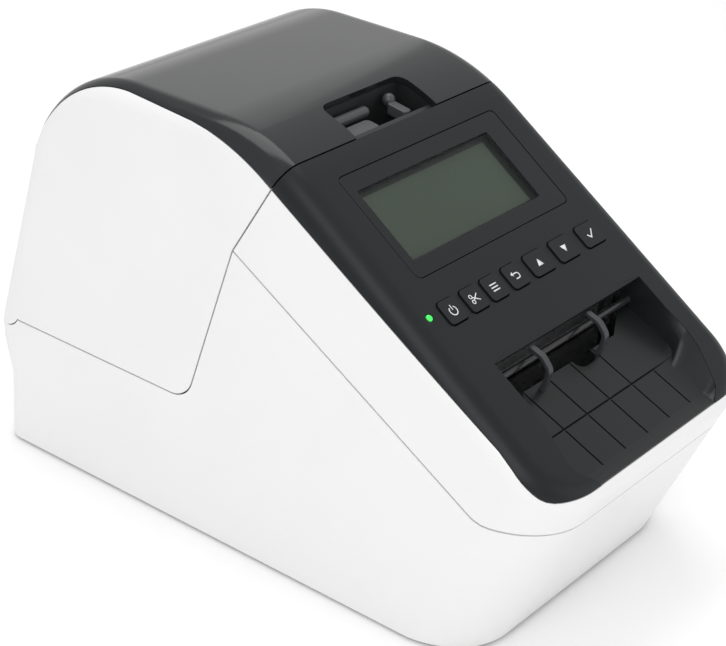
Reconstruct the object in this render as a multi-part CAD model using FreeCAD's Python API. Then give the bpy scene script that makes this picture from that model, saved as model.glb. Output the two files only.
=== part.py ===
import FreeCAD, Part
import math
import os

V = FreeCAD.Vector
X = V(1, 0, 0)
Y = V(0, 1, 0)

# Desktop label maker. Millimetres; X is width, the front faces -Y, feet stand on z = 0.

# --- driving dimensions -----------------------------------------------------------------------
HALF_BASE = 62.65            # half width at the foot of the walls
SIDE_LEAN = 0.04             # inward lean of each side wall, per mm of height
FRONT_FOOT_Y = -91.8         # foot of the front wall
LIP = (-118.3, 63.8)         # front edge of the control panel, before rounding
PANEL_TOP = (-7.5, 138.5)    # where the panel meets the roll cover
CREST_FRONT = (2.9, 145.2)   # crest line where it meets the panel's slope, before rounding
CREST_REAR = (95.0, 145.0)   # crest line where it meets the rear wall, before rounding
REAR_BENDS = ((116.6, 44.0, 8.0), (115.6, 36.0, 6.0), (111.4, 24.0, 6.0))   # y, z and radius
REAR_FOOT_Y = 110.0
FORM_BOTTOM = -10.0          # the form runs on below the case and is cut off at CASE_Z
FORM_TOP = 160.0
CASE_Z = 1.2                 # underside of the case; the feet reach z = 0
WALL = 2.2
GAP = 0.4                    # seam between casings
CREST_FRONT_R = 70.0
CREST_REAR_R = 45.0
FRONT_CORNER_R = 22.0
SHOULDER_R = 8.0

COVER_SEAM_Z = 47.0
COVER_CORNER = (25.6, 47.0)
COVER_FRONT = (10.2, 105.5)
FRAME_SEAM_Z = 51.0
FRAME_SEAM_BEND = (-90.0, 51.0)
PANEL_EDGE_FRONT = (-130.0, 57.4)
PANEL_EDGE_REAR = (-3.6, 130.6)
COVER_LIP = (-8.2, 139.4)    # front edge of the roll cover's top
COVER_CORNER_R = 9.0
FRAME_BEND_R = 15.0
CAP_GAP = 0.1                # half the seam between the dark cap and the white housing
CAP_BENDS = ((15.0, 141.2, 70.0), (79.0, 144.2, 42.0))   # lower edge of the dark cap: y, z, radius
CAP_REAR = (107.0, 107.0)
FLOOR_INNER = (-80.0, 74.0)  # tray floor at its inner end and at its bend
FLOOR_BEND = (-98.8, 70.8)
FLOOR_FRONT = (-112.0, 67.2)
NOTCH_HALF = 21.0
NOTCH_REAR_Y = 9.0
NOTCH_FLOOR_Z = 124.6
GRIP_BAR = (-0.6, 137.0)     # bar across the finger notch, y and z
GRIP_BAR_R = 1.8

HINGE = (111.0, 50.0)        # cover hinge axis, y and z
BARREL_R = 6.5
BARREL_HALF = 62.0
TROUGH_DROP = 6.4            # the case's rear edge stops this far under the hinge axis
HINGE_PIN_R = 2.0
EAR_X = 48.0                 # centre of each hinge ear
EAR_T = 5.0
EAR_R = 5.4
EAR_FOOT_Z = 36.0

ROLL = (56.0, 72.0)          # roll axis, y and z
ROLL_R = 38.0
ROLL_HALF = 31.0
CORE_R = 16.0
CORE_BORE = 14.0
TUB_R = 42.0                 # roll compartment
TUB_HALF = 46.0
TUB_WALL = 2.0
FLANGE_Z = 45.0
TONGUE_HALF = 4.1            # half width of the tongue on each roll guide
GUIDE_T = 2.0

PLATEN = (-52.0, 68.0)       # platen axis, y and z
PLATEN_R = 7.0
SHAFT_R = 3.0
BUSH_R = 5.0
MODULE = 0.8
PLATEN_TEETH = 30
IDLER_TEETH = 32
MOTOR_TEETH = 12
MOTOR = (-20.0, 42.0)
FEED_GEAR_X = -50.0          # left end of the feed gears
GEAR_T = 4.0
PLATE_X = 44.0               # inner face of the mechanism side plates
PLATE_T = 1.2
CHASSIS_Z = 30.0

BLADE_Y = -68.0
CUTTER_TEETH = 20
CUTTER_PINION_TEETH = 10
RACK_X = 39.0                # left face of the rack and both cutter gears
BLADE_HALF = 36.0
POST_R = 2.0                 # gear posts and head pivot
HEAD_PIVOT = (-27.0, 84.0)

SLOT_Y = -78.5               # rear edge of the label outlet, measured on the panel
TRAY_HALF = 41.0
TRAY_FRONT_Y = -112.5        # front edge of the outlet
KEY_Y = -60.0
KEY_HALF_Y = 3.78            # half depth of a key's hole, along y
KEY_GAP = 0.35
KEYS = {
    "key_power": (-38.4, 8.6), "key_cut": (-27.2, 8.6), "key_menu": (-16.6, 8.6),
    "key_back": (-5.2, 8.6), "key_up": (8.0, 11.0), "key_down": (22.6, 11.0),
    "key_ok": (38.0, 11.0),
}
LIGHT_X = -48.2
PLATE_Y = (-49.0, -15.4)     # front and rear edges of the display window, along y
PLATE_HALF = 41.4
SCREEN_X = (-38.0, 32.0)     # opening behind the window

MAINS_X, MAINS_SIZE = -38.0, (21.0, 12.0)
USB_DEVICE_X, USB_DEVICE_SIZE = -6.0, (12.0, 11.0)
USB_HOST_X, USB_HOST_SIZE = 14.0, (14.5, 7.0)
LAN_X, LAN_SIZE = 37.0, (16.0, 13.5)
SOCKET_Z = 8.8               # underside of every socket
SOCKET_REAR_Y = 110.0
SOCKET_GAP = 0.3
FOOT_R = 6.0
FEET = [(x, y) for x in (-48.0, 48.0) for y in (-66.0, 95.0)]
SCREWS = [(x, y) for x in (-54.0, 54.0) for y in (-50.0, 78.0)]
POSTS = [(x, y) for x in (-38.0, 38.0) for y in (-84.0, -38.0)]
BOSS_R = 4.0
THREAD_R = 1.45
PLATE_TOP_Z = CASE_Z + 2.2   # top face of the base plate
BOARD_T = 1.6
BIG = 400.0
BEYOND = 70.0                # half length of a cut that has to run past both sides

PANEL_SLOPE = (PANEL_TOP[1] - LIP[1]) / (PANEL_TOP[0] - LIP[0])
PANEL_ANGLE = math.degrees(math.atan(PANEL_SLOPE))


# --- small helpers ----------------------------------------------------------------------------
def box(x0, x1, y0, y1, z0, z1):
    return Part.makeBox(x1 - x0, y1 - y0, z1 - z0, V(x0, y0, z0))


def rod(axis, radius, x0, x1):
    """Cylinder along X about an axis given as (y, z)."""
    return Part.makeCylinder(radius, x1 - x0, V(x0, axis[0], axis[1]), X)


def tube(axis, outer, inner, x0, x1):
    return rod(axis, outer, x0, x1).cut(rod(axis, inner, x0 - 1, x1 + 1))


def outline(points, radii=None):
    """Closed wire in the Y-Z plane with each corner rounded by its own radius."""
    count = len(points)
    radii = radii or [0] * count
    starts, ends, edges = [], [], []
    for i, (y, z) in enumerate(points):
        here = V(0, y, z)
        before = V(0, *points[i - 1]) - here
        after = V(0, *points[(i + 1) % count]) - here
        before.normalize()
        after.normalize()
        half = before.getAngle(after) / 2
        reach = radii[i] / math.tan(half)
        starts.append(here + before * reach)
        ends.append(here + after * reach)
        if radii[i] > 0:
            toward = before + after
            toward.normalize()
            middle = here + toward * (radii[i] / math.sin(half) - radii[i])
            edges.append(Part.Arc(starts[i], middle, ends[i]).toShape())
    for i in range(count):
        start, end = ends[i], starts[(i + 1) % count]
        if (start - end).Length > 1e-6:
            edges.append(Part.makeLine(start, end))
    return Part.Wire(Part.__sortEdges__(edges))


def slab(wire, x0=-100.0, x1=100.0, grow=0.0):
    """Solid swept along X from a Y-Z wire, which can first be grown or shrunk."""
    if grow:
        wire = wire.makeOffset2D(grow)
    solid = Part.Face(wire).extrude(V(x1 - x0, 0, 0))
    solid.translate(V(x0, 0, 0))
    return solid


def on_panel(y):
    """Height of the panel's flat face at a depth y."""
    return LIP[1] + (y - LIP[0]) * PANEL_SLOPE


def panel_block(x0, x1, y0, y1, below, above, corner=0.0):
    """Block standing square on the panel face, from y0 to y1, between two offsets from the face."""
    length = (y1 - y0) / math.cos(math.radians(PANEL_ANGLE))
    block = Part.makeBox(x1 - x0, length, above - below, V(x0, 0, below))
    if corner:
        upright = [e for e in block.Edges if abs(e.tangentAt(e.FirstParameter).z) > 0.99]
        block = block.makeFillet(corner, upright)
    block.rotate(V(0, 0, 0), X, PANEL_ANGLE)
    block.translate(V(0, y0, on_panel(y0)))
    return block


def gear(teeth, thickness, bore, axis, x0, phase=0.0):
    """Spur gear about X with straight-flanked teeth, slightly thin for running clearance."""
    pitch_r = MODULE * teeth / 2
    root_r = pitch_r - 1.15 * MODULE
    tip_r = pitch_r + 0.8 * MODULE
    root_half = math.pi / teeth * 0.56
    tip_half = math.pi / teeth * 0.22
    points = []
    for i in range(teeth):
        middle = math.radians(phase) + 2 * math.pi * i / teeth
        corners = ((root_r, -root_half), (tip_r, -tip_half), (tip_r, tip_half), (root_r, root_half))
        for radius, angle in corners:
            points.append(V(0, radius * math.cos(middle + angle), radius * math.sin(middle + angle)))
    points.append(points[0])
    body = Part.Face(Part.makePolygon(points)).extrude(V(thickness, 0, 0))
    body.translate(V(x0, axis[0], axis[1]))
    return body.cut(rod(axis, bore, x0 - 1, x0 + thickness + 1))


def mesh_phase(driver_axis, driver_teeth, driver_phase, axis, teeth):
    """Phase in degrees that puts a gap of the driven gear on a tooth of its driver."""
    toward = math.degrees(math.atan2(axis[1] - driver_axis[1], axis[0] - driver_axis[0]))
    lead = (toward - driver_phase) / (360 / driver_teeth)
    lead -= math.floor(lead)
    return toward + 180 + (lead + 0.5) * 360 / teeth


def between(first, second, first_reach, second_reach):
    """Centre at given distances from two axes, on the rear side of the line that joins them."""
    dy, dz = second[0] - first[0], second[1] - first[1]
    span = math.hypot(dy, dz)
    along = (first_reach ** 2 - second_reach ** 2 + span ** 2) / (2 * span)
    off = math.sqrt(first_reach ** 2 - along ** 2)
    return (first[0] + (along * dy - off * dz) / span, first[1] + (along * dz + off * dy) / span)


# --- outer form -------------------------------------------------------------------------------
def corner_edges(form):
    """The two slanting front corner edges."""
    found = []
    for edge in form.Edges:
        a, b = edge.Vertexes[0].Point, edge.Vertexes[-1].Point
        if max(a.y, b.y) < -80 and abs(a.z - b.z) > 12 and abs(a.x - b.x) < 8:
            found.append(edge)
    return found


def shoulder_edges(form):
    """Every edge along the top and rear of the two side walls."""
    found = []
    for edge in form.Edges:
        a, b = edge.Vertexes[0].Point, edge.Vertexes[-1].Point
        on_side = min(abs(a.x), abs(b.x)) > 50 and a.x * b.x > 0
        foot = max(a.z, b.z) < 0
        front = max(a.y, b.y) < -60 and min(a.z, b.z) < 0
        if on_side and not foot and not front:
            found.append(edge)
    return found


def body(inset=0.0):
    """The whole outer form, or the same form set in by a wall thickness."""
    front_foot = FRONT_FOOT_Y - FORM_BOTTOM * (FRONT_FOOT_Y - LIP[0]) / LIP[1]
    bends = [(y, z) for y, z, radius in REAR_BENDS]
    side = outline(
        [(front_foot, FORM_BOTTOM), LIP, CREST_FRONT, CREST_REAR, *bends, (REAR_FOOT_Y, FORM_BOTTOM)],
        [0, 0, CREST_FRONT_R, CREST_REAR_R, *(radius for y, z, radius in REAR_BENDS), 0])
    form = slab(side, -BEYOND, BEYOND, -inset)
    half_low = HALF_BASE - inset - SIDE_LEAN * FORM_BOTTOM
    half_top = HALF_BASE - inset - SIDE_LEAN * FORM_TOP
    section = [V(-half_low, 0, FORM_BOTTOM), V(half_low, 0, FORM_BOTTOM),
               V(half_top, 0, FORM_TOP), V(-half_top, 0, FORM_TOP)]
    wedge = Part.Face(Part.makePolygon(section + section[:1])).extrude(V(0, BIG, 0))
    wedge.translate(V(0, -BIG / 2, 0))
    form = form.common(wedge)
    form = form.makeFillet(FRONT_CORNER_R - inset, corner_edges(form))
    return form.makeFillet(SHOULDER_R - inset, shoulder_edges(form))


OUTER = body()
SHELL = OUTER.cut(body(WALL)).cut(box(-BIG, BIG, -BIG, BIG, -BIG, CASE_Z))

# Side views of the seams, each closed well outside the form.
COVER_LINE = outline(
    [(150, COVER_SEAM_Z), COVER_CORNER, COVER_FRONT, PANEL_EDGE_REAR, COVER_LIP, (-14, 153), (150, 153)],
    [0, COVER_CORNER_R, 0, 0, 0, 0, 0])
FRAME_LINE = outline(
    [(-150, FRAME_SEAM_Z), FRAME_SEAM_BEND, COVER_FRONT, (30, 118), (30, 200), (-150, 200)],
    [0, FRAME_BEND_R, 0, 0, 0, 0])
CAP_LINE = outline(
    [PANEL_EDGE_FRONT, CAP_BENDS[0][:2], CAP_BENDS[1][:2], CAP_REAR, (150, 50), (150, 220), (-130, 220)],
    [0, CAP_BENDS[0][2], CAP_BENDS[1][2], 0, 0, 0, 0])

nodes = {}


# --- casings ----------------------------------------------------------------------------------
def base_bosses():
    """Four screw columns for the base plate, each ribbed to its side wall."""
    bosses = []
    height = 20.0
    low = PLATE_TOP_Z + 0.2
    for x, y in SCREWS:
        side = math.copysign(1, x)
        column = Part.makeCylinder(BOSS_R, height, V(x, y, low))
        rib_x = sorted((x + side * 2, x + side * 6.4))
        rib = box(*rib_x, y - 1, y + 1, low, low + height)
        bosses.append(column.fuse(rib).cut(Part.makeCylinder(THREAD_R, 12, V(x, y, low - 0.6))))
    return bosses


def socket_hole(x, size):
    half = size[0] / 2 + SOCKET_GAP
    return box(x - half, x + half, 100, 120, SOCKET_Z - SOCKET_GAP, SOCKET_Z + size[1] + SOCKET_GAP)


case = SHELL.cut(slab(COVER_LINE, grow=GAP / 2)).cut(slab(FRAME_LINE, grow=GAP / 2))
case = case.cut(rod(HINGE, BARREL_R + GAP, -BEYOND, BEYOND))
case = case.cut(box(-BEYOND, BEYOND, HINGE[0], BIG, HINGE[1] - TROUGH_DROP, 70))
for boss in base_bosses():
    case = case.fuse(boss)
for x, size in ((MAINS_X, MAINS_SIZE), (USB_DEVICE_X, USB_DEVICE_SIZE), (USB_HOST_X, USB_HOST_SIZE),
                (LAN_X, LAN_SIZE)):
    case = case.cut(socket_hole(x, size))
nodes["lower_case"] = case

# The panel alone makes the skin round the label outlet, down to the lip.
skin = panel_block(-TRAY_HALF - 3, TRAY_HALF + 3, TRAY_FRONT_Y - 0.8, SLOT_Y, -3.4, 6)
frame = SHELL.common(slab(FRAME_LINE, grow=-GAP / 2)).cut(slab(CAP_LINE, grow=CAP_GAP)).cut(skin)
nodes["front_frame"] = frame.cut(slab(COVER_LINE, grow=GAP / 2))

panel = SHELL.common(slab(CAP_LINE, grow=-CAP_GAP).fuse(skin)).cut(slab(COVER_LINE, grow=GAP / 2))
panel = panel.cut(panel_block(-PLATE_HALF, PLATE_HALF, *PLATE_Y, -1.2, 5, 2.5))
panel = panel.cut(panel_block(*SCREEN_X, PLATE_Y[0] + 3.5, PLATE_Y[1] - 4.5, -5, 5, 1))
panel = panel.cut(panel_block(-TRAY_HALF - GAP, TRAY_HALF + GAP, TRAY_FRONT_Y, SLOT_Y, -9, 9, 2.5))
for x, width in KEYS.values():
    half = width / 2 + KEY_GAP
    panel = panel.cut(panel_block(x - half, x + half, KEY_Y - KEY_HALF_Y, KEY_Y + KEY_HALF_Y, -5, 5, 1.8))
panel = panel.cut(panel_block(LIGHT_X - 1.8, LIGHT_X + 1.8, KEY_Y - 1.5, KEY_Y + 1.5, -5, 5, 1.4))
nodes["control_panel"] = panel


# --- roll cover -------------------------------------------------------------------------------
cover = SHELL.common(slab(COVER_LINE, grow=-GAP / 2)).cut(slab(CAP_LINE, grow=CAP_GAP))
cover = cover.cut(box(-BEYOND, BEYOND, HINGE[0], BIG, 0, HINGE[1]))
barrel = rod(HINGE, BARREL_R, -BARREL_HALF, BARREL_HALF).common(OUTER)
cover = cover.fuse(barrel)
for side in (-1, 1):
    ear_slot = EAR_T / 2 + 0.5
    cover = cover.cut(box(side * EAR_X - ear_slot, side * EAR_X + ear_slot, 100, BIG, 30, HINGE[1] + 8))
    cover = cover.cut(rod(HINGE, HINGE_PIN_R, side * EAR_X - 6, side * EAR_X + 6))
nodes["roll_cover_shell"] = cover.removeSplitter()

cap = SHELL.common(slab(CAP_LINE, grow=-CAP_GAP)).common(slab(COVER_LINE, grow=-GAP / 2))
notch = box(-NOTCH_HALF, NOTCH_HALF, -30, NOTCH_REAR_Y, 110, 170)
nodes["roll_cover_top"] = cap.cut(notch)

WELL_WALL = 1.6
well_line = outline([
    (-8.8, 142.5), (-5.6, 136.5), (-2.6, 131.2), (3.0, NOTCH_FLOOR_Z - WELL_WALL),
    (NOTCH_REAR_Y + 2.5, NOTCH_FLOOR_Z - WELL_WALL), (NOTCH_REAR_Y + 2.5, 142.5)])
well = slab(well_line, -NOTCH_HALF - WELL_WALL, NOTCH_HALF + WELL_WALL).common(body(WALL + 0.1))
hollow_line = outline([
    (-12, 150), (-4.0, 136.5), (-1.0, 131.6), (3.8, NOTCH_FLOOR_Z), (NOTCH_REAR_Y, NOTCH_FLOOR_Z),
    (NOTCH_REAR_Y, 150)])
nodes["cover_well"] = well.cut(slab(hollow_line, -NOTCH_HALF, NOTCH_HALF))
nodes["grip_bar"] = rod(GRIP_BAR, GRIP_BAR_R, -NOTCH_HALF, NOTCH_HALF)
nodes["hinge_pins"] = Part.makeCompound(
    [rod(HINGE, HINGE_PIN_R, side * EAR_X - 5, side * EAR_X + 5) for side in (-1, 1)])


def hinge_ear(side):
    x0, x1 = side * EAR_X - EAR_T / 2, side * EAR_X + EAR_T / 2
    front = HINGE[0] - 4.0
    ear = rod(HINGE, EAR_R, x0, x1).fuse(box(x0, x1, front, HINGE[0] + 1.5, EAR_FOOT_Z, HINGE[1]))
    ear = ear.fuse(box(x0 - 2, x1 + 2, front, HINGE[0] + 1.5, EAR_FOOT_Z, EAR_FOOT_Z + 6))
    return ear.cut(rod(HINGE, HINGE_PIN_R + 0.05, x0 - 1, x1 + 1))


nodes["hinge_brackets"] = Part.makeCompound([hinge_ear(-1), hinge_ear(1)])

# --- label roll and its compartment -----------------------------------------------------------
tub = rod(ROLL, TUB_R + TUB_WALL, -TUB_HALF - TUB_WALL, TUB_HALF + TUB_WALL)
tub = tub.cut(box(-BIG, BIG, -BIG, BIG, FLANGE_Z, BIG))
tub = tub.fuse(box(-57.5, 57.5, 14, 103.5, FLANGE_Z - TUB_WALL, FLANGE_Z))
tub = tub.cut(rod(ROLL, TUB_R, -TUB_HALF, TUB_HALF))
for side in (-1, 1):
    x0, x1 = sorted((side * TUB_HALF, side * (TUB_HALF + TUB_WALL)))
    tub = tub.fuse(box(x0, x1, ROLL[0] - 18, ROLL[0] + 18, 32, ROLL[1] + 12))
    x0, x1 = sorted((side * (TUB_HALF - 4), side * (TUB_HALF + 0.5)))
    for y in (ROLL[0] - 8, ROLL[0] + 4.4):
        tub = tub.fuse(box(x0, x1, y, y + 3.6, 34, ROLL[1] + 12))
nodes["roll_compartment"] = tub.removeSplitter()


def roll_guide(side):
    """Flange with a hub inside the core and a tongue that drops between the compartment's rails."""
    def across(a, b):
        return min(side * a, side * b), max(side * a, side * b)
    outer = ROLL_HALF + GAP + GUIDE_T
    disc = rod(ROLL, ROLL_R + 2, *across(ROLL_HALF + GAP, outer))
    hub = rod(ROLL, CORE_BORE - GAP, *across(ROLL_HALF - 13, outer))
    tongue = box(*across(outer, TUB_HALF - 0.3), ROLL[0] - TONGUE_HALF, ROLL[0] + TONGUE_HALF,
                 ROLL[1] - 14, ROLL[1] + 14)
    return disc.fuse(hub).fuse(tongue).cut(rod(ROLL, 9, *across(ROLL_HALF - 14, ROLL_HALF)))


nodes["roll_guide_left"] = roll_guide(-1)
nodes["roll_guide_right"] = roll_guide(1)
nodes["label_roll"] = tube(ROLL, ROLL_R, CORE_R, -ROLL_HALF, ROLL_HALF)
nodes["roll_core"] = tube(ROLL, CORE_R, CORE_BORE, -ROLL_HALF, ROLL_HALF)

bulkhead_line = outline([(19, 45.2), (21, 45.2), (5.5, 108), (-7.5, 132), (-9.5, 131), (3.5, 107.5)])
bulkhead = slab(bulkhead_line).common(body(WALL + 0.3))
nodes["front_bulkhead"] = bulkhead.cut(box(-34, 34, 0, 40, 70, 80))

# --- feed mechanism ---------------------------------------------------------------------------
IDLER = between(
    PLATEN, MOTOR, MODULE * (PLATEN_TEETH + IDLER_TEETH) / 2, MODULE * (IDLER_TEETH + MOTOR_TEETH) / 2)
RACK_PITCH_Y = BLADE_Y + 3.0
CUTTER_GEAR = (RACK_PITCH_Y + MODULE * CUTTER_TEETH / 2, 80.0)
CUTTER_MOTOR = (CUTTER_GEAR[0] + MODULE * (CUTTER_TEETH + CUTTER_PINION_TEETH) / 2, CUTTER_GEAR[1])

side_line = outline([(-96, CHASSIS_Z), (-96, 58), (-74, 76), (-60, 86), (-14, 92), (-10, CHASSIS_Z)])
chassis = box(-PLATE_X - PLATE_T, PLATE_X + PLATE_T, -96, -10, CHASSIS_Z, CHASSIS_Z + PLATE_T)
for x0 in (-PLATE_X - PLATE_T, PLATE_X):
    chassis = chassis.fuse(slab(side_line, x0, x0 + PLATE_T))
chassis = chassis.cut(rod(PLATEN, BUSH_R, -60, 60)).cut(rod(HEAD_PIVOT, POST_R, -60, 60))
chassis = chassis.cut(rod(MOTOR, 3, -60, 0)).cut(rod(IDLER, POST_R, -60, 0))
chassis = chassis.cut(rod(CUTTER_GEAR, POST_R, 0, 60)).cut(rod(CUTTER_MOTOR, 2, 0, 60))
for x, y in POSTS:
    chassis = chassis.cut(Part.makeCylinder(1.4, 5, V(x, y, CHASSIS_Z - 2)))
nodes["mechanism_chassis"] = chassis.removeSplitter()

nodes["platen_rubber"] = tube(PLATEN, PLATEN_R, SHAFT_R, -32, 32)
nodes["platen_shaft"] = rod(PLATEN, SHAFT_R, FEED_GEAR_X - 0.5, 46.5)
nodes["platen_bearings"] = Part.makeCompound(
    [tube(PLATEN, BUSH_R, SHAFT_R + 0.05, x0, x0 + 2.4) for x0 in (-45.8, 43.4)])
idler_phase = mesh_phase(PLATEN, PLATEN_TEETH, 0, IDLER, IDLER_TEETH)
motor_phase = mesh_phase(IDLER, IDLER_TEETH, idler_phase, MOTOR, MOTOR_TEETH)
nodes["platen_gear"] = gear(PLATEN_TEETH, GEAR_T, SHAFT_R, PLATEN, FEED_GEAR_X)
nodes["idler_gear"] = gear(IDLER_TEETH, GEAR_T, POST_R + 0.05, IDLER, FEED_GEAR_X, idler_phase)
motor_gear = gear(MOTOR_TEETH, GEAR_T, 1.5, MOTOR, FEED_GEAR_X, motor_phase)
nodes["motor_pinion"] = motor_gear.fuse(rod(MOTOR, 1.5, FEED_GEAR_X - 0.5, -38))
nodes["feed_motor"] = rod(MOTOR, 10, -PLATE_X + 0.1, -20).cut(rod(MOTOR, 1.55, -PLATE_X, -37.5))

guide = box(-PLATE_X + 0.2, PLATE_X - 0.2, -43, 7, 72.9, 74.4)
nodes["label_guide"] = guide.cut(Part.makeCylinder(1.5, 10, V(0, -20, 68)))
nodes["label_sensor"] = box(-4, 4, -24, -16, 67.8, 72.8)

# --- print head -------------------------------------------------------------------------------
nodes["print_head"] = box(-33, 33, -60, -46, 75.3, 77.3)
bracket = box(-38, 38, -60, -31, 77.3, 79.8)
for x0 in (-38, 36):
    arm = rod(HEAD_PIVOT, 4, x0, x0 + 2).fuse(box(x0, x0 + 2, -40, HEAD_PIVOT[0], 77.3, 84))
    bracket = bracket.fuse(arm)
nodes["head_bracket"] = bracket.cut(rod(HEAD_PIVOT, POST_R + 0.05, -50, 50))
nodes["head_pivot_shaft"] = rod(HEAD_PIVOT, POST_R, -PLATE_X - PLATE_T - 0.5, PLATE_X + PLATE_T + 0.5)
SPRING_TOP = 88.0
SPRING_X = 20.0


def coil_spring(x, y, z0, z1, coil_r, wire_r, turns):
    helix = Part.makeHelix((z1 - z0 - 2 * wire_r) / turns, z1 - z0 - 2 * wire_r, coil_r)
    circle = Part.Wire(Part.makeCircle(wire_r, V(coil_r, 0, 0), Y))
    spring = Part.Wire(helix).makePipeShell([circle], True, True)
    spring.translate(V(x, y, z0 + wire_r))
    return spring


nodes["head_springs"] = Part.makeCompound(
    [coil_spring(x, -50, 79.9, SPRING_TOP - 0.1, 2.6, 0.45, 5) for x in (-SPRING_X, SPRING_X)])
nodes["spring_plate"] = box(-PLATE_X + 0.1, 38, -57, -43, SPRING_TOP, SPRING_TOP + 1.2)

# --- cutter -----------------------------------------------------------------------------------
nodes["fixed_blade"] = box(-BLADE_HALF, BLADE_HALF, BLADE_Y - 1.2, BLADE_Y - 0.1, 60, 73.5)
nodes["moving_blade"] = box(-BLADE_HALF, BLADE_HALF, BLADE_Y + 0.2, BLADE_Y + 1.3, 77.5, 89)


def blade_carrier():
    """Bar behind the moving blade with a vertical rack at its right end."""
    pitch = math.pi * MODULE
    low, high = 72.0, 92.0
    tip, root = 0.8 * MODULE, 1.15 * MODULE
    tip_half, root_half = 0.2, 0.74
    points = [(BLADE_Y - 1.0, low), (RACK_PITCH_Y - root, low)]
    steps = int((high - CUTTER_GEAR[1]) / pitch) - 1
    for i in range(-steps, steps):
        middle = CUTTER_GEAR[1] + (i + 0.5) * pitch
        points += [(RACK_PITCH_Y - root, middle - root_half), (RACK_PITCH_Y + tip, middle - tip_half),
                   (RACK_PITCH_Y + tip, middle + tip_half), (RACK_PITCH_Y - root, middle + root_half)]
    points += [(RACK_PITCH_Y - root, high), (BLADE_Y - 1.0, high)]
    rack = slab(outline(points), RACK_X, RACK_X + GEAR_T)
    return rack.fuse(box(-BLADE_HALF, RACK_X + 0.5, BLADE_Y + 1.3, BLADE_Y + 2.2, 83, 89))


nodes["blade_carrier"] = blade_carrier()
pinion_phase = mesh_phase(CUTTER_GEAR, CUTTER_TEETH, 180, CUTTER_MOTOR, CUTTER_PINION_TEETH)
nodes["cutter_gear"] = gear(CUTTER_TEETH, GEAR_T, POST_R + 0.05, CUTTER_GEAR, RACK_X, 180)
nodes["gear_posts"] = Part.makeCompound([
    rod(CUTTER_GEAR, POST_R, RACK_X - 0.4, PLATE_X + PLATE_T),
    rod(IDLER, POST_R, FEED_GEAR_X - 0.5, -PLATE_X)])
cutter_drive = gear(CUTTER_PINION_TEETH, GEAR_T, 1.0, CUTTER_MOTOR, RACK_X, pinion_phase)
nodes["cutter_pinion"] = cutter_drive.fuse(rod(CUTTER_MOTOR, 1.0, RACK_X - 0.4, 50))
motor_x = PLATE_X + PLATE_T + 0.2
nodes["cutter_motor"] = rod(CUTTER_MOTOR, 6.5, motor_x, motor_x + 10).cut(rod(CUTTER_MOTOR, 1.05, 40, 50.5))

# --- label outlet -----------------------------------------------------------------------------
TRAY_REAR_Y = SLOT_Y - 0.3
TRAY_WALL = 1.6
tray_space = slab(outline([
    (-114.5, on_panel(-114.5) + 0.1), (TRAY_REAR_Y, on_panel(TRAY_REAR_Y)),
    (TRAY_REAR_Y, FLOOR_INNER[1] - 2.0), (FLOOR_BEND[0], FLOOR_BEND[1] - 2.6), (-110, 65.0)]),
    -TRAY_HALF, TRAY_HALF)
tray_hollow = slab(outline([
    (-112, on_panel(-112) + 6), (-70, 110), (-70, FLOOR_INNER[1]), FLOOR_INNER, FLOOR_BEND, FLOOR_FRONT]),
    -TRAY_HALF + TRAY_WALL, TRAY_HALF - TRAY_WALL)
tray_limit = panel_block(-TRAY_HALF, TRAY_HALF, TRAY_FRONT_Y + 0.6, TRAY_REAR_Y, -30, -0.3, 2.6)
nodes["output_tray"] = tray_space.cut(tray_hollow).common(tray_limit)
nodes["outlet_ribs"] = Part.makeCompound(
    [box(x - 1.5, x + 1.5, -83, SLOT_Y - 0.6, 76, 86) for x in (-22.0, 9.0)])

# --- display and keys -------------------------------------------------------------------------
nodes["display_window"] = panel_block(
    -PLATE_HALF + 0.3, PLATE_HALF - 0.3, PLATE_Y[0] + 0.25, PLATE_Y[1] - 0.25, -1.1, -0.1, 2.2)
nodes["display_module"] = panel_block(-40, 34, PLATE_Y[0] + 2, PLATE_Y[1] - 3, -7.5, -2.6)
nodes["status_light"] = panel_block(
    LIGHT_X - 1.5, LIGHT_X + 1.5, KEY_Y - 1.25, KEY_Y + 1.25, -4.5, 0.2, 1.2)
nodes["key_board"] = panel_block(-52, 45, KEY_Y - 6.5, KEY_Y + 6.5, -8.4, -6.8)
for name, (x, width) in KEYS.items():
    half = width / 2
    depth = KEY_HALF_Y - 0.3
    key = panel_block(x - half, x + half, KEY_Y - depth, KEY_Y + depth, -2.6, 0.4, 1.5)
    skirt = panel_block(
        x - half - 0.9, x + half + 0.9, KEY_Y - depth - 0.8, KEY_Y + depth + 0.8, -3.4, -2.5)
    stem = panel_block(x - 1.5, x + 1.5, KEY_Y - 1.3, KEY_Y + 1.3, -5.7, -3.3)
    nodes[name] = key.fuse(skirt).fuse(stem)

# --- base, boards and sockets -----------------------------------------------------------------
plate = body(WALL + 0.3).common(box(-BIG, BIG, -BIG, BIG, CASE_Z, PLATE_TOP_Z))
for x, y in FEET:
    plate = plate.cut(Part.makeCylinder(FOOT_R + 0.1, 0.9, V(x, y, CASE_Z)))
for x, y in SCREWS:
    plate = plate.cut(Part.makeCylinder(3.2, 1.2, V(x, y, CASE_Z)))
    plate = plate.cut(Part.makeCylinder(1.7, 5, V(x, y, 0)))
for x, y in POSTS:
    plate = plate.fuse(Part.makeCylinder(BOSS_R, CHASSIS_Z - 0.2 - 3.3, V(x, y, 3.3)))
    plate = plate.cut(Part.makeCylinder(1.2, 12, V(x, y, 20)))
nodes["base_plate"] = plate
nodes["rubber_feet"] = Part.makeCompound(
    [Part.makeCylinder(FOOT_R, CASE_Z + 0.8, V(x, y, 0)) for x, y in FEET])


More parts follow.
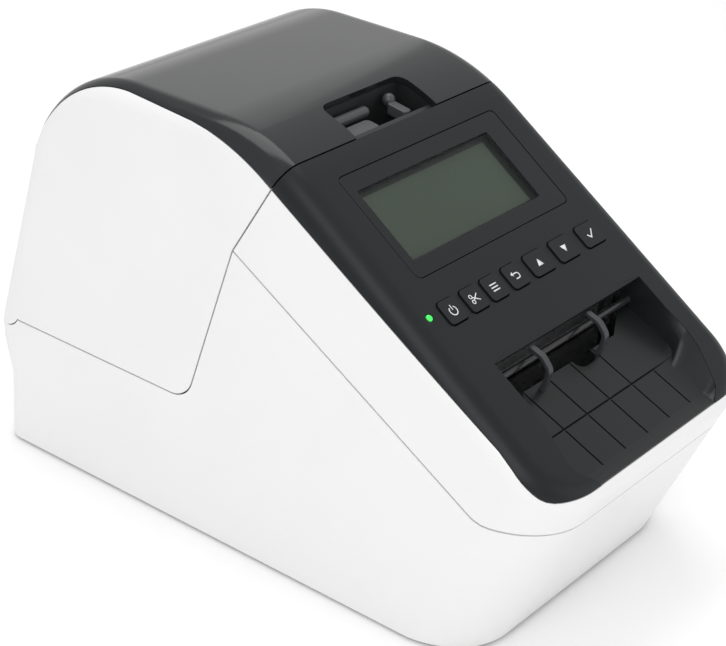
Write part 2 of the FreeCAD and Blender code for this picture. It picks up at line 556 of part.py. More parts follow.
def screw(x, y, head_z, length, head_r, thread_r, up):
    head = Part.makeCylinder(head_r, 1.1, V(x, y, head_z))
    start = head_z + 1.1 if up else head_z - length
    shank = Part.makeCylinder(thread_r, length, V(x, y, start))
    recess = box(x - 0.35, x + 0.35, y - 1.4, y + 1.4, head_z - 0.1, head_z + 0.5)
    if not up:
        recess.translate(V(0, 0, 0.7))
    return head.fuse(shank).cut(recess)


nodes["base_screws"] = Part.makeCompound([
    screw(x, y, CASE_Z + 0.05, 8, 2.9, THREAD_R - 0.05, True) for x, y in SCREWS])
nodes["chassis_screws"] = Part.makeCompound([
    screw(x, y, CHASSIS_Z + PLATE_T + 0.05, 9, 2.6, 1.15, False) for x, y in POSTS])

MAIN_BOARD_Z = 7.0
CHIPS = ((-14, 44, 20, 20, 2.2), (14, 50, 12, 10, 1.8), (-38, 30, 10, 10, 9), (26, 26, 16, 8, 6),
         (-34, 60, 8, 14, 5))   # x, y, width, depth and height of each part on the main board
board = box(-50, 50, 10, 106, MAIN_BOARD_Z, MAIN_BOARD_Z + BOARD_T)
for x0, y0, wide, deep, tall in CHIPS:
    low = MAIN_BOARD_Z + BOARD_T
    board = board.fuse(box(x0, x0 + wide, y0, y0 + deep, low, low + tall))
nodes["main_board"] = board

SUPPLY_Z = 6.0
CAPACITORS = ((-24, -70), (-24, -56), (22, -34))
supply = box(-32, 32, -84, -20, SUPPLY_Z, SUPPLY_Z + BOARD_T)
supply = supply.fuse(box(-14, 12, -60, -36, SUPPLY_Z + BOARD_T, 26))
for x, y in CAPACITORS:
    supply = supply.fuse(Part.makeCylinder(5.5, 17, V(x, y, SUPPLY_Z + BOARD_T)))
nodes["power_supply"] = supply


def socket(x, size, depth, cavity, tongue=None, pins=()):
    """Square-nosed socket facing +Y with a cavity and, where it has them, a tongue or pins."""
    rear = SOCKET_REAR_Y
    shape = box(x - size[0] / 2, x + size[0] / 2, rear - depth, rear, SOCKET_Z, SOCKET_Z + size[1])
    middle = SOCKET_Z + size[1] / 2
    half_w, half_h = cavity[0] / 2, cavity[1] / 2
    shape = shape.cut(
        box(x - half_w, x + half_w, rear - depth + 2, rear + 1, middle - half_h, middle + half_h))
    if tongue:
        shape = shape.fuse(box(x - tongue[0] / 2, x + tongue[0] / 2, rear - depth + 1.5, rear - 2,
                               middle + tongue[2], middle + tongue[2] + tongue[1]))
    for offset in pins:
        shape = shape.fuse(Part.makeCylinder(1.2, depth - 3, V(x + offset, rear - depth + 1.5, middle), Y))
    return shape


nodes["mains_inlet"] = socket(MAINS_X, MAINS_SIZE, 16, (17, 9), pins=(-4.3, 4.3))
nodes["usb_device_socket"] = socket(USB_DEVICE_X, USB_DEVICE_SIZE, 14, (9, 8), tongue=(5.6, 3.2, -1.6))
nodes["usb_host_socket"] = socket(USB_HOST_X, USB_HOST_SIZE, 13, (12.5, 5.1), tongue=(11.1, 1.8, 0.4))
nodes["network_socket"] = socket(LAN_X, LAN_SIZE, 15, (12, 8.5))

os.makedirs("parts", exist_ok=True)
for name, shape in nodes.items():
    shape.exportStep("parts/" + name + ".step")
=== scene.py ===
import math

import bmesh
import bpy
import numpy as np
from mathutils import Matrix, Vector
from mathutils.geometry import delaunay_2d_cdt


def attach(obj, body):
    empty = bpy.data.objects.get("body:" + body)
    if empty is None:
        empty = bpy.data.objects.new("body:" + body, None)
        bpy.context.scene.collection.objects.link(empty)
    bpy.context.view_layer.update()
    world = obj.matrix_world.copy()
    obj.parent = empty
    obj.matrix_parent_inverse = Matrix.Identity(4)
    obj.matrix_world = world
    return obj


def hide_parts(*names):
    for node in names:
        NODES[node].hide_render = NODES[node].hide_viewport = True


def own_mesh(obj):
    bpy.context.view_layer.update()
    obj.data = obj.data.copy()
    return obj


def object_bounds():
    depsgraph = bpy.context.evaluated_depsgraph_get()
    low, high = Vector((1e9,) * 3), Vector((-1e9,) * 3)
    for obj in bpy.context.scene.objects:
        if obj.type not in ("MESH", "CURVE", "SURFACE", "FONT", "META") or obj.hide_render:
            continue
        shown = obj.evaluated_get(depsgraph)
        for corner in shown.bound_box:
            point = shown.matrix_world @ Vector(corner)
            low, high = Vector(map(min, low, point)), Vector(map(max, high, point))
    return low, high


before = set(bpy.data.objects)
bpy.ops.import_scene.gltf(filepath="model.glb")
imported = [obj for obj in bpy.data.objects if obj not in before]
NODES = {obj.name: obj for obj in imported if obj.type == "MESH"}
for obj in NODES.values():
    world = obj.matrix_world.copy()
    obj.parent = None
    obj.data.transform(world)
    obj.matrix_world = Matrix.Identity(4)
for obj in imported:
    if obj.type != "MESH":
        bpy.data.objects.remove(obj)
CAD_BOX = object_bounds()

# Every length below is in millimetres in the CAD's own frame, and MM turns it into metres.
MM = 0.001
WELD = 0.012            # points nearer than this are one point
TINY = 1e-6

# --- outer form, the same figures as the CAD ---
HALF_BASE, SIDE_LEAN = 62.65, 0.04
FRONT_FOOT_Y, LIP = -91.8, (-118.3, 63.8)
CREST_FRONT, CREST_REAR = (2.9, 145.2), (95.0, 145.0)
REAR_BENDS = ((116.6, 44.0, 9.0), (115.6, 36.0, 9.5), (111.4, 24.0, 6.0))
REAR_FOOT = (110.0, -10.0)
PANEL_TOP = (-7.5, 138.5)
CASE_Z, WALL = 1.2, 2.2                                # underside of the white casing, and its thickness
CORNER_R, SHOULDER_R = 22.0, 8.0
HALF_SEAM, HALF_CAP_SEAM = 0.27, 0.12
COVER_LINE_Z = 47.0     # the cover's lower edge, along the sides and the rear
COVER_SEAM = ([(-8.2, 139.4), (-3.6, 130.6), (10.2, 105.5), (25.6, COVER_LINE_Z), (150.0, COVER_LINE_Z)],
              [0, 0, 0, 9, 0])
FRAME_SEAM = ([(-150.0, 51.0), (-90.0, 51.0), (10.2, 105.5)], [0, 15, 0])
CAP_SEAM = ([(-130.0, 63.9), (-109.5, 64.0), (-96.0, 75.3), (15.0, 141.2), (79.0, 144.2), (107.0, 107.0),
             (150.0, 50.0)], [0, 8, 20, 70, 42, 0, 0])
HINGE, BARREL_R, BARREL_GAP = (111.0, 50.0), 6.5, 0.4
EAR_X, EAR_T = 48.0, 5.0        # the two hinge ears: distance from the middle, and thickness
EAR_SLOT = EAR_T / 2 + 0.5
CASE_REAR_TOP_Z = 43.6
KEY_Y, KEY_HALF_Y, KEY_GAP = -60.0, 3.78, 0.35
KEYS = {
    "key_power": (-38.4, 8.6), "key_cut": (-27.2, 8.6), "key_menu": (-16.6, 8.6),
    "key_back": (-5.2, 8.6), "key_up": (8.0, 11.0), "key_down": (22.6, 11.0), "key_ok": (38.0, 11.0),
}
LCD_X, LCD_Y = (-37.4, 31.2), (-43.9, -20.8)
LIGHT_X, LIGHT_Y = -48.2, KEY_Y + 1.3
INK_LIFT = 0.56         # just proud of the keys' tops
SLOPE = (CREST_FRONT[1] - LIP[1]) / (CREST_FRONT[0] - LIP[0])
COS_P, SIN_P = 1 / math.hypot(1, SLOPE), SLOPE / math.hypot(1, SLOPE)


def unit(v):
    v = np.asarray(v, float)
    return v / np.linalg.norm(v)


N_SIDE = unit((1, 0, SIDE_LEAN))
FRONT_LEAN = (FRONT_FOOT_Y - LIP[0]) / LIP[1]
N_FRONT = unit((0, -1, -FRONT_LEAN))
N_PANEL = np.array((0, -SIN_P, COS_P))
RULING = np.array((-SIDE_LEAN, -FRONT_LEAN, 1.0))      # runs in both the side and the front wall


def bisect(low, high, past, steps=24):
    """Where past(value) turns true between low and high."""
    for _ in range(steps):
        middle = (low + high) / 2
        low, high = (low, middle) if past(middle) else (middle, high)
    return high


def slerp(a, b, t):
    angle = math.acos(max(-1.0, min(1.0, float(np.dot(a, b)))))
    if angle < 1e-9:
        return np.array(a, float)
    return (math.sin((1 - t) * angle) * a + math.sin(t * angle) * b) / math.sin(angle)


def half_width(z):
    return HALF_BASE - SIDE_LEAN * z


def on_side(y, z):
    return np.array((half_width(z), y, z))


def panel_z(y):
    return LIP[1] + (y - LIP[0]) * SLOPE


def on_panel(x, y, lift=0.0):
    """Point at a height above the panel's flat face, square to it."""
    return np.array((x, y, panel_z(y))) + lift * N_PANEL


def rounded_path(points, radii, chord, straight=7.0):
    """Rows of (y, z, normal y, normal z) along an open polyline with rounded corners, sampled at a
    length for the arcs and one for the straight runs."""
    points = [np.array(p, float) for p in points]
    rows = []

    def left(d):
        return np.array((-d[1], d[0]))

    def line(a, b):
        length = np.linalg.norm(b - a)
        if length < TINY:
            return
        count = max(1, math.ceil(length / straight))
        n = left((b - a) / length)
        rows.extend([*(a + (b - a) * k / count), *n] for k in range(count + 1))

    cursor = points[0]
    for i in range(1, len(points) - 1):
        before, after = unit(points[i] - points[i - 1]), unit(points[i + 1] - points[i])
        turn = math.atan2(before[0] * after[1] - before[1] * after[0], float(before @ after))
        reach = radii[i] * math.tan(abs(turn) / 2)
        start = points[i] - before * reach
        line(cursor, start)
        if radii[i]:
            sign = math.copysign(1, turn)
            centre = start + sign * radii[i] * left(before)
            count = max(3, math.ceil(radii[i] * abs(turn) / chord))
            for k in range(1, count + 1):
                c, s = math.cos(turn * k / count), math.sin(turn * k / count)
                n = left(before)
                n = np.array((c * n[0] - s * n[1], s * n[0] + c * n[1]))
                rows.append([*(centre - sign * radii[i] * n), *n])
        cursor = points[i] + after * reach
    line(cursor, points[-1])
    kept = [rows[0]]
    for row in rows[1:]:
        if math.hypot(row[0] - kept[-1][0], row[1] - kept[-1][1]) > 0.02:
            kept.append(row)
    return np.array(kept)


class Path:
    """A sampled Y-Z path that can be read at any distance along it, and offset."""

    def __init__(self, points, radii, **options):
        self.rows = rounded_path(points, radii, **options)
        self.s = np.concatenate(([0], np.cumsum(np.hypot(*np.diff(self.rows[:, :2], axis=0).T))))

    def at(self, s):
        row = np.array([np.interp(s, self.s, self.rows[:, k]) for k in range(4)])
        row[2:] = unit(row[2:])
        return row

    def near(self, y, z):
        """(distance along, signed offset to the left) of a point."""
        a, b = self.rows[:-1, :2], self.rows[1:, :2]
        d = b - a
        t = np.clip(((np.array((y, z)) - a) * d).sum(1) / (d * d).sum(1), 0, 1)
        gap = np.array((y, z)) - (a + d * t[:, None])
        k = int(np.argmin((gap * gap).sum(1)))
        sign = d[k, 0] * gap[k, 1] - d[k, 1] * gap[k, 0]
        return self.s[k] + t[k] * (self.s[k + 1] - self.s[k]), math.copysign(math.hypot(*gap[k]), sign)

    def between(self, s0, s1, offset):
        """Points from s0 to s1, at the path's own samples, moved sideways by offset."""
        low, high = min(s0, s1), max(s0, s1)
        inner = [s for s in self.s if low + 0.3 < s < high - 0.3]
        stops = [low, *inner, high]
        if s0 > s1:
            stops.reverse()
        return [self.at(s)[:2] + offset * self.at(s)[2:] for s in stops]


crown = Path([LIP, CREST_FRONT, CREST_REAR, *[b[:2] for b in REAR_BENDS], REAR_FOOT],
             [0, 70, 45, *[b[2] for b in REAR_BENDS], 0], chord=2.2)
cap_seam = Path(*CAP_SEAM, chord=1.5)
cover_seam = Path(*COVER_SEAM, chord=1.0)
frame_seam = Path(*FRAME_SEAM, chord=1.0)


# --- meshes ---
def add_object(name, data):
    obj = bpy.data.objects.new(name, data)
    bpy.context.scene.collection.objects.link(obj)
    return obj


def new_object(name, mesh, body, material, slot, *replaced):
    """A piece that rides on a body, and may stand for CAD nodes."""
    obj = add_object(name, mesh)
    mesh.materials.append(material)
    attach(obj, body)
    if replaced:
        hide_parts(*replaced)
    return obj


def finish_mesh(bm, name, weld=WELD):
    """Welds, scales to metres, shades smooth and returns the mesh."""
    bmesh.ops.remove_doubles(bm, verts=bm.verts, dist=weld)
    bmesh.ops.dissolve_degenerate(bm, edges=bm.edges, dist=0.004)
    bmesh.ops.scale(bm, vec=(MM, MM, MM), verts=bm.verts)
    for face in bm.faces:
        face.smooth = True
    mesh = bpy.data.meshes.new(name)
    bm.to_mesh(mesh)
    bm.free()
    return mesh


def bevel(obj, width, segments=2, angle=35.0):
    """Rounds the sharp edges and keeps the broad faces flat to the eye."""
    mod = obj.modifiers.new("edge_round", "BEVEL")
    mod.width = width * MM
    mod.segments = segments
    mod.limit_method = "ANGLE"
    mod.angle_limit = math.radians(angle)
    mod.miter_outer = "MITER_ARC"
    normals = obj.modifiers.new("normals", "WEIGHTED_NORMAL")
    normals.weight = 80
    normals.keep_sharp = False


class Skin:
    """A moulded wall: its outer face is gathered here in patches, then given its thickness."""

    def __init__(self):
        self.bm = bmesh.new()

    def face(self, points):
        self.bm.faces.new([self.bm.verts.new(p) for p in points])

    def grid(self, rows):
        """Patch of quads between rows of points; quads that close up are left out."""
        for a, b in zip(rows, rows[1:]):
            for i in range(len(a) - 1):
                quad = [a[i], a[i + 1], b[i + 1], b[i]]
                kept = [p for k, p in enumerate(quad) if np.linalg.norm(np.subtract(p, quad[k - 1])) > 0.004]
                if len(kept) > 2:
                    self.face(kept)

    def fill(self, loop, holes, spacing, place):
        """Flat patch inside a loop of 2-D points, less its holes; place turns (u, v) into a 3-D point."""
        rings = [np.array(ring, float) for ring in [loop, *[divided(hole, spacing) for hole in holes]]]
        points = [tuple(p) for ring in rings for p in ring]
        edges, start = [], 0
        for ring in rings:
            edges += [(start + k, start + (k + 1) % len(ring)) for k in range(len(ring))]
            start += len(ring)

        def within(u, v):
            return inside(rings[0], u, v) and not any(inside(ring, u, v) for ring in rings[1:])

        low, high = rings[0].min(0), rings[0].max(0)
        segments = np.array([(points[a], points[b]) for a, b in edges])
        a, d = segments[:, 0], segments[:, 1] - segments[:, 0]
        for u in np.arange(low[0] + spacing / 2, high[0], spacing):
            for v in np.arange(low[1] + spacing / 2, high[1], spacing):
                t = np.clip(((np.array((u, v)) - a) * d).sum(1) / (d * d).sum(1), 0, 1)
                gap = np.hypot(*(np.array((u, v)) - a - d * t[:, None]).T).min()
                if gap > spacing * 0.45 and within(u, v):
                    points.append((u, v))
        made = delaunay_2d_cdt([Vector(p) for p in points], edges, [], 0, TINY)
        patch = bmesh.new()
        corners = [patch.verts.new(place(p.x, p.y)) for p in made[0]]
        for tri in made[2]:
            middle = sum((made[0][k] for k in tri), Vector((0, 0))) / 3
            if within(*middle):
                patch.faces.new([corners[k] for k in tri])
        # A straight run of the loop can leave slivers just outside it, each with its longest edge free.
        pairs = [(max(f.edges, key=lambda e: e.calc_length()), f) for f in patch.faces]
        for longest, f in sorted(pairs, key=lambda pair: -pair[0].calc_length()):
            if len(longest.link_faces) == 1 and 2 * f.calc_area() < 0.004 * longest.calc_length():
                patch.faces.remove(f)
        bmesh.ops.join_triangles(patch, faces=patch.faces, angle_face_threshold=0.2, angle_shape_threshold=0.7)
        for f in patch.faces:
            self.face([v.co.copy() for v in f.verts])
        patch.free()

    def mirror(self):
        for f in list(self.bm.faces):
            self.face([(-v.co.x, v.co.y, v.co.z) for v in reversed(f.verts)])

    def build(self, name, body, material, slot, *replaced, thickness=WALL, edge=0.3, centre=(0, 5, 60)):
        bmesh.ops.remove_doubles(self.bm, verts=self.bm.verts, dist=WELD)
        bmesh.ops.recalc_face_normals(self.bm, faces=self.bm.faces)
        self.bm.faces.ensure_lookup_table()
        outward = sum(f.calc_area() * f.normal.dot(f.calc_center_median() - Vector(centre)) for f in self.bm.faces)
        if outward < 0:
            bmesh.ops.reverse_faces(self.bm, faces=self.bm.faces)
        obj = new_object(name, finish_mesh(self.bm, name), body, material, slot, *replaced)
        wall = obj.modifiers.new("wall", "SOLIDIFY")
        wall.thickness = thickness * MM
        wall.offset = -1
        wall.use_quality_normals = True
        bevel(obj, edge)


def divided(ring, longest):
    """The same loop with its long straight runs cut into shorter ones."""
    out = []
    for k, point in enumerate(ring):
        a, b = np.array(ring[k - 1], float), np.array(point, float)
        count = max(1, math.ceil(np.linalg.norm(b - a) / longest))
        out += [tuple(a + (b - a) * j / count) for j in range(1, count + 1)]
    return out


def inside(ring, u, v):
    """Whether a point is inside a closed ring, by counting the edges to its right."""
    a, b = ring, np.roll(ring, -1, axis=0)
    cross = (a[:, 1] > v) != (b[:, 1] > v)
    with np.errstate(divide="ignore", invalid="ignore"):
        at = a[:, 0] + (v - a[:, 1]) * (b[:, 0] - a[:, 0]) / (b[:, 1] - a[:, 1])
    return bool(np.count_nonzero(cross & (u < at)) % 2)


def rounded_rect(u0, u1, v0, v1, radius, steps=5):
    """Loop of 2-D points round a rectangle with rounded corners."""
    loop = []
    for cu, cv, start in ((u1 - radius, v1 - radius, 0), (u0 + radius, v1 - radius, 90),
                          (u0 + radius, v0 + radius, 180), (u1 - radius, v0 + radius, 270)):
        for k in range(steps + 1):
            a = math.radians(start + 90 * k / steps)
            loop.append((cu + radius * math.cos(a), cv + radius * math.sin(a)))
    return loop


# --- the shoulder, a rolled edge that runs along the lip, round the corners, up the sides and down the rear ---
WALL_COS = float(N_SIDE @ N_FRONT)
CORNER_FOOT = (np.array((HALF_BASE, FRONT_FOOT_Y, 0.0))
               - CORNER_R / (1 + WALL_COS) * (N_SIDE + N_FRONT))
PANEL_K = float(N_PANEL @ (0, *LIP))


class Station:
    """One cross-section of the shoulder: an arc from the wall's normal to the top's normal."""

    def __init__(self, centre, wall, top):
        self.centre, self.wall, self.top = np.array(centre), np.array(wall), np.array(top)

    def point(self, share):
        """Point of the arc; a share below 0 goes on down the flat wall."""
        if share < 0:
            up = unit(self.top - (self.top @ self.wall) * self.wall)
            return self.centre + SHOULDER_R * (self.wall + share * math.pi / 2 * up)
        return self.centre + SHOULDER_R * slerp(self.wall, self.top, share)

    def cap_share(self, offset):
        """Share of the arc at which it crosses the edge of the dark cap, or 1 where it stays below."""
        if cap_seam.near(*self.point(1.0)[1:])[1] < offset:
            return 1.0
        return bisect(-0.3, 1.0, lambda share: cap_seam.near(*self.point(share)[1:])[1] > offset)


def corner_station(share):
    """Share 0 is at the side wall and 1 at the front wall."""
    n = slerp(N_SIDE, N_FRONT, share)
    start = CORNER_FOOT + (CORNER_R - SHOULDER_R) * n
    t = (PANEL_K - SHOULDER_R - N_PANEL @ start) / (N_PANEL @ RULING)
    return Station(start + t * RULING, n, N_PANEL)


def side_station(s):
    y, z, ny, nz = crown.at(s)
    cy, cz = y - SHOULDER_R * ny, z - SHOULDER_R * nz
    return Station((half_width(cz) - SHOULDER_R / N_SIDE[0], cy, cz), N_SIDE, (0, ny, nz))


def corner_wall(share, z):
    """Point of the rounded front corner at a height."""
    low = CORNER_FOOT + CORNER_R * slerp(N_SIDE, N_FRONT, share)
    return low + (z - low[2]) * RULING


CORNER_SHARES = np.linspace(1, 0, 15)
corner = [corner_station(t) for t in CORNER_SHARES]
front_x = np.linspace(0, corner[0].centre[0], 9)
front = [Station((x, *corner[0].centre[1:]), N_FRONT, N_PANEL) for x in front_x[:-1]]
s_corner = crown.near(*corner[-1].point(1)[1:])[0]
s_seam = crown.near(*PANEL_TOP)[0]
s_flat = crown.near(-14.9, panel_z(-14.9))[0]
s_cap_end = bisect(crown.near(60, 145)[0], crown.near(104, 105)[0],
                   lambda s: cap_seam.near(*crown.at(s)[:2])[1] <= 0)
s_cover_end = crown.near(115.9, 47.2)[0]
s_case_top = crown.near(116.4, CASE_REAR_TOP_Z)[0]
s_case_end = crown.near(110.4, CASE_Z)[0]


def stops(s0, s1, extra=()):
    """Crown distances from s0 to s1 at the crown's own samples, with extra ones added."""
    wanted = sorted({s0, s1, *extra})
    inner = [s for s in crown.s if s0 < s < s1 and all(abs(s - w) > 0.5 for w in wanted)]
    return sorted([*wanted, *inner])


def strip(stations, low, high, rows):
    """Grid on the shoulder between two shares of each station's arc."""
    shares = [(low(st), high(st)) for st in stations]
    return [[st.point(a + (b - a) * j / rows) for st, (a, b) in zip(stations, shares)]
            for j in range(rows + 1)]


def below_cap(st):
    return st.cap_share(-HALF_CAP_SEAM)


def above_cap(st):
    return st.cap_share(HALF_CAP_SEAM)


def zero(_):
    return 0.0


def one(_):
    return 1.0


def foot(st):
    """Lower edge of the white band over the shoulder, partly down the wall along the sides."""
    s = crown.near(*st.point(1.0)[1:])[0]
    if st.wall[1] < -TINY or st.centre[0] < 40:
        return 0.0
    return -0.45 * max(0.0, min(1.0, (s - s_corner) / 20.0, (s_cap_end + 30.0 - s) / 25.0))


SEAM_REACH = 8.0


def seam_stations(s_all, share_at, offset):
    """Stations along the side, drawn along the crown so that the one at s_seam has its point on the
    cover's seam; share_at gives the share of the arc that is meant."""
    def behind(s):
        st = side_station(s)
        return cover_seam.near(*st.point(share_at(st))[1:])[1] > offset

    shift = bisect(s_seam - 7.0, s_seam + 7.0, behind) - s_seam
    return [side_station(s + shift * max(0.0, 1 - abs(s - s_seam) / SEAM_REACH)) for s in s_all]


def seam_strip(s_all, low, high, rows, offset):
    """Grid on the side's shoulder whose end at s_seam follows the cover's seam."""
    grid = []
    for j in range(rows + 1):
        def share_at(st):
            return low(st) + (high(st) - low(st)) * j / rows
        grid.append([st.point(share_at(st)) for st in seam_stations(s_all, share_at, offset)])
    return grid


def level_end(rows, z, s):
    """Slides the last point of each row along the wall to a height, so that the skin ends level."""
    y0, z0 = crown.at(s - 1.0)[:2]
    y1, z1 = crown.at(s + 1.0)[:2]
    run = np.array((-SIDE_LEAN, (y1 - y0) / (z1 - z0), 1.0))
    for row in rows:
        row[-1] = row[-1] + (z - row[-1][2]) * run
        if (row[-2][2] - z) * (row[-3][2] - z) <= 0:
            row[-2] = row[-1]
    return rows


def flat_row(st, x0, columns):
    edge = st.point(1.0)
    return [np.array((x, edge[1], edge[2])) for x in np.linspace(x0, edge[0], columns + 1)]


# --- materials ---
GRAIN_DEPTH = 0.05


def put(node, values):
    for socket, value in values.items():
        node.inputs[socket].default_value = value
    return node


def material(name, color, roughness, grain=0.3, bump=0.05, mottle=0.03, spread=0.06, metallic=0.0,
             stretch=(1, 1, 1), emission=None, specular=0.5):
    """Moulded surface: a slow drift in tone, and a fine grain in both roughness and height.
    grain is the size of the grain in millimetres, and stretch makes it run like brushing."""
    mat = bpy.data.materials.new(name)
    mat.use_nodes = True
    nodes, link = mat.node_tree.nodes, mat.node_tree.links.new
    shader = nodes["Principled BSDF"]
    put(shader, {"Metallic": metallic, "Specular IOR Level": specular})
    mapping = put(nodes.new("ShaderNodeMapping"), {"Scale": stretch})
    link(nodes.new("ShaderNodeTexCoord").outputs["Object"], mapping.inputs["Vector"])

    def noise(scale, detail):
        node = put(nodes.new("ShaderNodeTexNoise"), {"Scale": scale, "Detail": detail})
        link(mapping.outputs["Vector"], node.inputs["Vector"])
        return node.outputs["Fac"]

    ramp = nodes.new("ShaderNodeValToRGB")
    for stop, position, tone in zip(ramp.color_ramp.elements, (0.3, 0.7), (1 - mottle, 1 + mottle)):
        stop.position = position
        stop.color = (*[min(1.0, c * tone) for c in color], 1)
    link(noise(28.0, 3.0), ramp.inputs["Fac"])
    link(ramp.outputs["Color"], shader.inputs["Base Color"])
    texture = noise(1.0 / (grain * MM), 4.0)
    rough = put(nodes.new("ShaderNodeMapRange"),
                {"To Min": max(0.02, roughness - spread), "To Max": min(1.0, roughness + spread)})
    link(texture, rough.inputs["Value"])
    link(rough.outputs["Result"], shader.inputs["Roughness"])
    height = put(nodes.new("ShaderNodeBump"), {"Strength": bump, "Distance": GRAIN_DEPTH * MM})
    link(texture, height.inputs["Height"])
    link(height.outputs["Normal"], shader.inputs["Normal"])
    if emission:
        put(shader, {"Emission Color": (*emission[0], 1), "Emission Strength": emission[1]})
    return mat


WHITE = material("white_gloss_plastic", (0.80, 0.80, 0.80), 0.34, grain=0.35, bump=0.10, mottle=0.012)
BLACK_GLOSS = material("black_gloss_plastic", (0.013, 0.014, 0.0155), 0.17, grain=0.4, bump=0.05, mottle=0.10,
                       spread=0.03, specular=0.40)
CHARCOAL = material("charcoal_satin_plastic", (0.0090, 0.0112, 0.0128), 0.38, grain=0.25, bump=0.22, mottle=0.06,
                    specular=0.24)
TRAY = material("charcoal_tray_plastic", (0.0095, 0.0112, 0.0118), 0.30, grain=0.25, bump=0.20, mottle=0.06,
                specular=0.30)
ROD = material("black_rod_plastic", (0.020, 0.021, 0.022), 0.20, grain=0.3, bump=0.06, mottle=0.08)
GRIP = material("dark_grip_plastic", (0.050, 0.054, 0.057), 0.36, grain=0.25, bump=0.15, mottle=0.06)
BLACK = material("black_inner_plastic", (0.016, 0.017, 0.018), 0.42, grain=0.3, bump=0.25, mottle=0.08)
KEYCAP = material("key_plastic", (0.0090, 0.0110, 0.0125), 0.40, grain=0.22, bump=0.25, mottle=0.05, specular=0.26)
RIB = material("grey_rib_plastic", (0.034, 0.037, 0.040), 0.34, grain=0.25, bump=0.12, mottle=0.05)
GEAR = material("acetal_gear", (0.72, 0.71, 0.66), 0.36, grain=0.3, bump=0.12, mottle=0.03)
RUBBER = material("rubber_black", (0.020, 0.020, 0.021), 0.75, grain=0.3, bump=0.5, mottle=0.12)
STEEL = material("rolled_steel", (0.56, 0.57, 0.58), 0.30, grain=0.25, bump=0.12, metallic=1.0,
                 stretch=(0.12, 1, 1), spread=0.10)
ALUMINIUM = material("cast_aluminium", (0.66, 0.67, 0.68), 0.38, grain=0.4, bump=0.2, metallic=1.0)
PAPER = material("thermal_paper", (0.86, 0.86, 0.83), 0.62, grain=0.18, bump=0.25, mottle=0.02,
                 stretch=(0.2, 1, 1))
CARD = material("core_card", (0.42, 0.31, 0.19), 0.80, grain=0.3, bump=0.5, mottle=0.12)
BOARD = material("board_lacquer", (0.015, 0.12, 0.045), 0.35, grain=0.8, bump=0.1, mottle=0.15)
CERAMIC = material("head_ceramic", (0.72, 0.70, 0.65), 0.20, grain=0.5, bump=0.05, mottle=0.04)
SENSOR = material("sensor_epoxy", (0.02, 0.02, 0.03), 0.20, grain=0.4, bump=0.05, mottle=0.1)
WINDOW = material("window_frame_print", (0.0092, 0.0112, 0.0128), 0.30, grain=0.5, bump=0.03, mottle=0.05,
                  spread=0.04, specular=0.25)
CLEAR = material("window_clear", (0.02, 0.024, 0.022), 0.16, grain=2.0, bump=0.002, mottle=0.05, spread=0.02,
                 specular=0.35)
put(CLEAR.node_tree.nodes["Principled BSDF"], {"Alpha": 0.16})
SCREEN = material("lcd_glass", (0.066, 0.094, 0.066), 0.42, grain=1.2, bump=0.01, mottle=0.06, spread=0.04)
LEGEND = material("white_legend_ink", (0.72, 0.74, 0.76), 0.55, grain=0.2, bump=0.1, mottle=0.04)
LAMP = material("green_lamp", (0.05, 0.62, 0.10), 0.25, grain=0.4, bump=0.05, mottle=0.05,
                emission=((0.04, 0.80, 0.09), 0.45))

CARRIED = {
    GEAR: ["platen_gear", "idler_gear", "motor_pinion", "cutter_gear", "cutter_pinion"],
    RUBBER: ["platen_rubber", "rubber_feet"],
    STEEL: ["hinge_pins", "hinge_brackets", "platen_shaft", "gear_posts", "head_pivot_shaft", "head_springs",
            "spring_plate", "fixed_blade", "moving_blade", "blade_carrier", "base_screws", "chassis_screws",
            "mechanism_chassis", "feed_motor", "cutter_motor", "usb_device_socket", "usb_host_socket",
            "network_socket"],
    ALUMINIUM: ["head_bracket"], PAPER: ["label_roll"], CARD: ["roll_core"], CERAMIC: ["print_head"],
    BOARD: ["key_board", "main_board", "power_supply"], SENSOR: ["label_sensor"],
    RIB: ["outlet_ribs", "roll_guide_left", "roll_guide_right"],
    BLACK: ["cover_well", "grip_bar", "roll_compartment", "front_bulkhead", "output_tray", "label_guide",
            "base_plate", "mains_inlet", "platen_bearings", "display_module"],
    KEYCAP: list(KEYS),
    WHITE: ["lower_case", "front_frame", "roll_cover_shell"],
    BLACK_GLOSS: ["roll_cover_top"], CHARCOAL: ["control_panel"],
    WINDOW: ["display_window"], LAMP: ["status_light"],
}
for finish, names in CARRIED.items():
    for name in names:
        node = NODES[name]
        node.data.materials.clear()
        node.data.materials.append(finish)

# --- white casings ---
s_cap_stops = stops(s_corner, s_seam)


def side_fill(skin, loop):
    """Fills a loop of (y, z) points on the flat side wall."""
    skin.fill([tuple(p) for p in loop], (), 6.0, on_side)


def corner_crossing(offset, share):
    """Height at which the rounded corner meets the frame seam, moved sideways by offset."""
    return bisect(20.0, 80.0, lambda z: frame_seam.near(*corner_wall(share, z)[1:])[1] > offset)


def ruled(bottom, top, rows):
    """Rows of points that run straight from one row to another."""
    return [[a + (b - a) * k / rows for a, b in zip(bottom, top)] for k in range(rows + 1)]


def front_row(z):
    """Points across the front wall at a height, from its middle to the rounded corner."""
    edge = corner_wall(1, z)
    return [np.array((x, edge[1], z)) for x in np.linspace(0, edge[0], 9)]


SOCKETS = ((-38.0, 21.0, 12.0), (-6.0, 12.0, 11.0), (14.0, 14.5, 7.0), (37.0, 16.0, 13.5))     # x, width, height


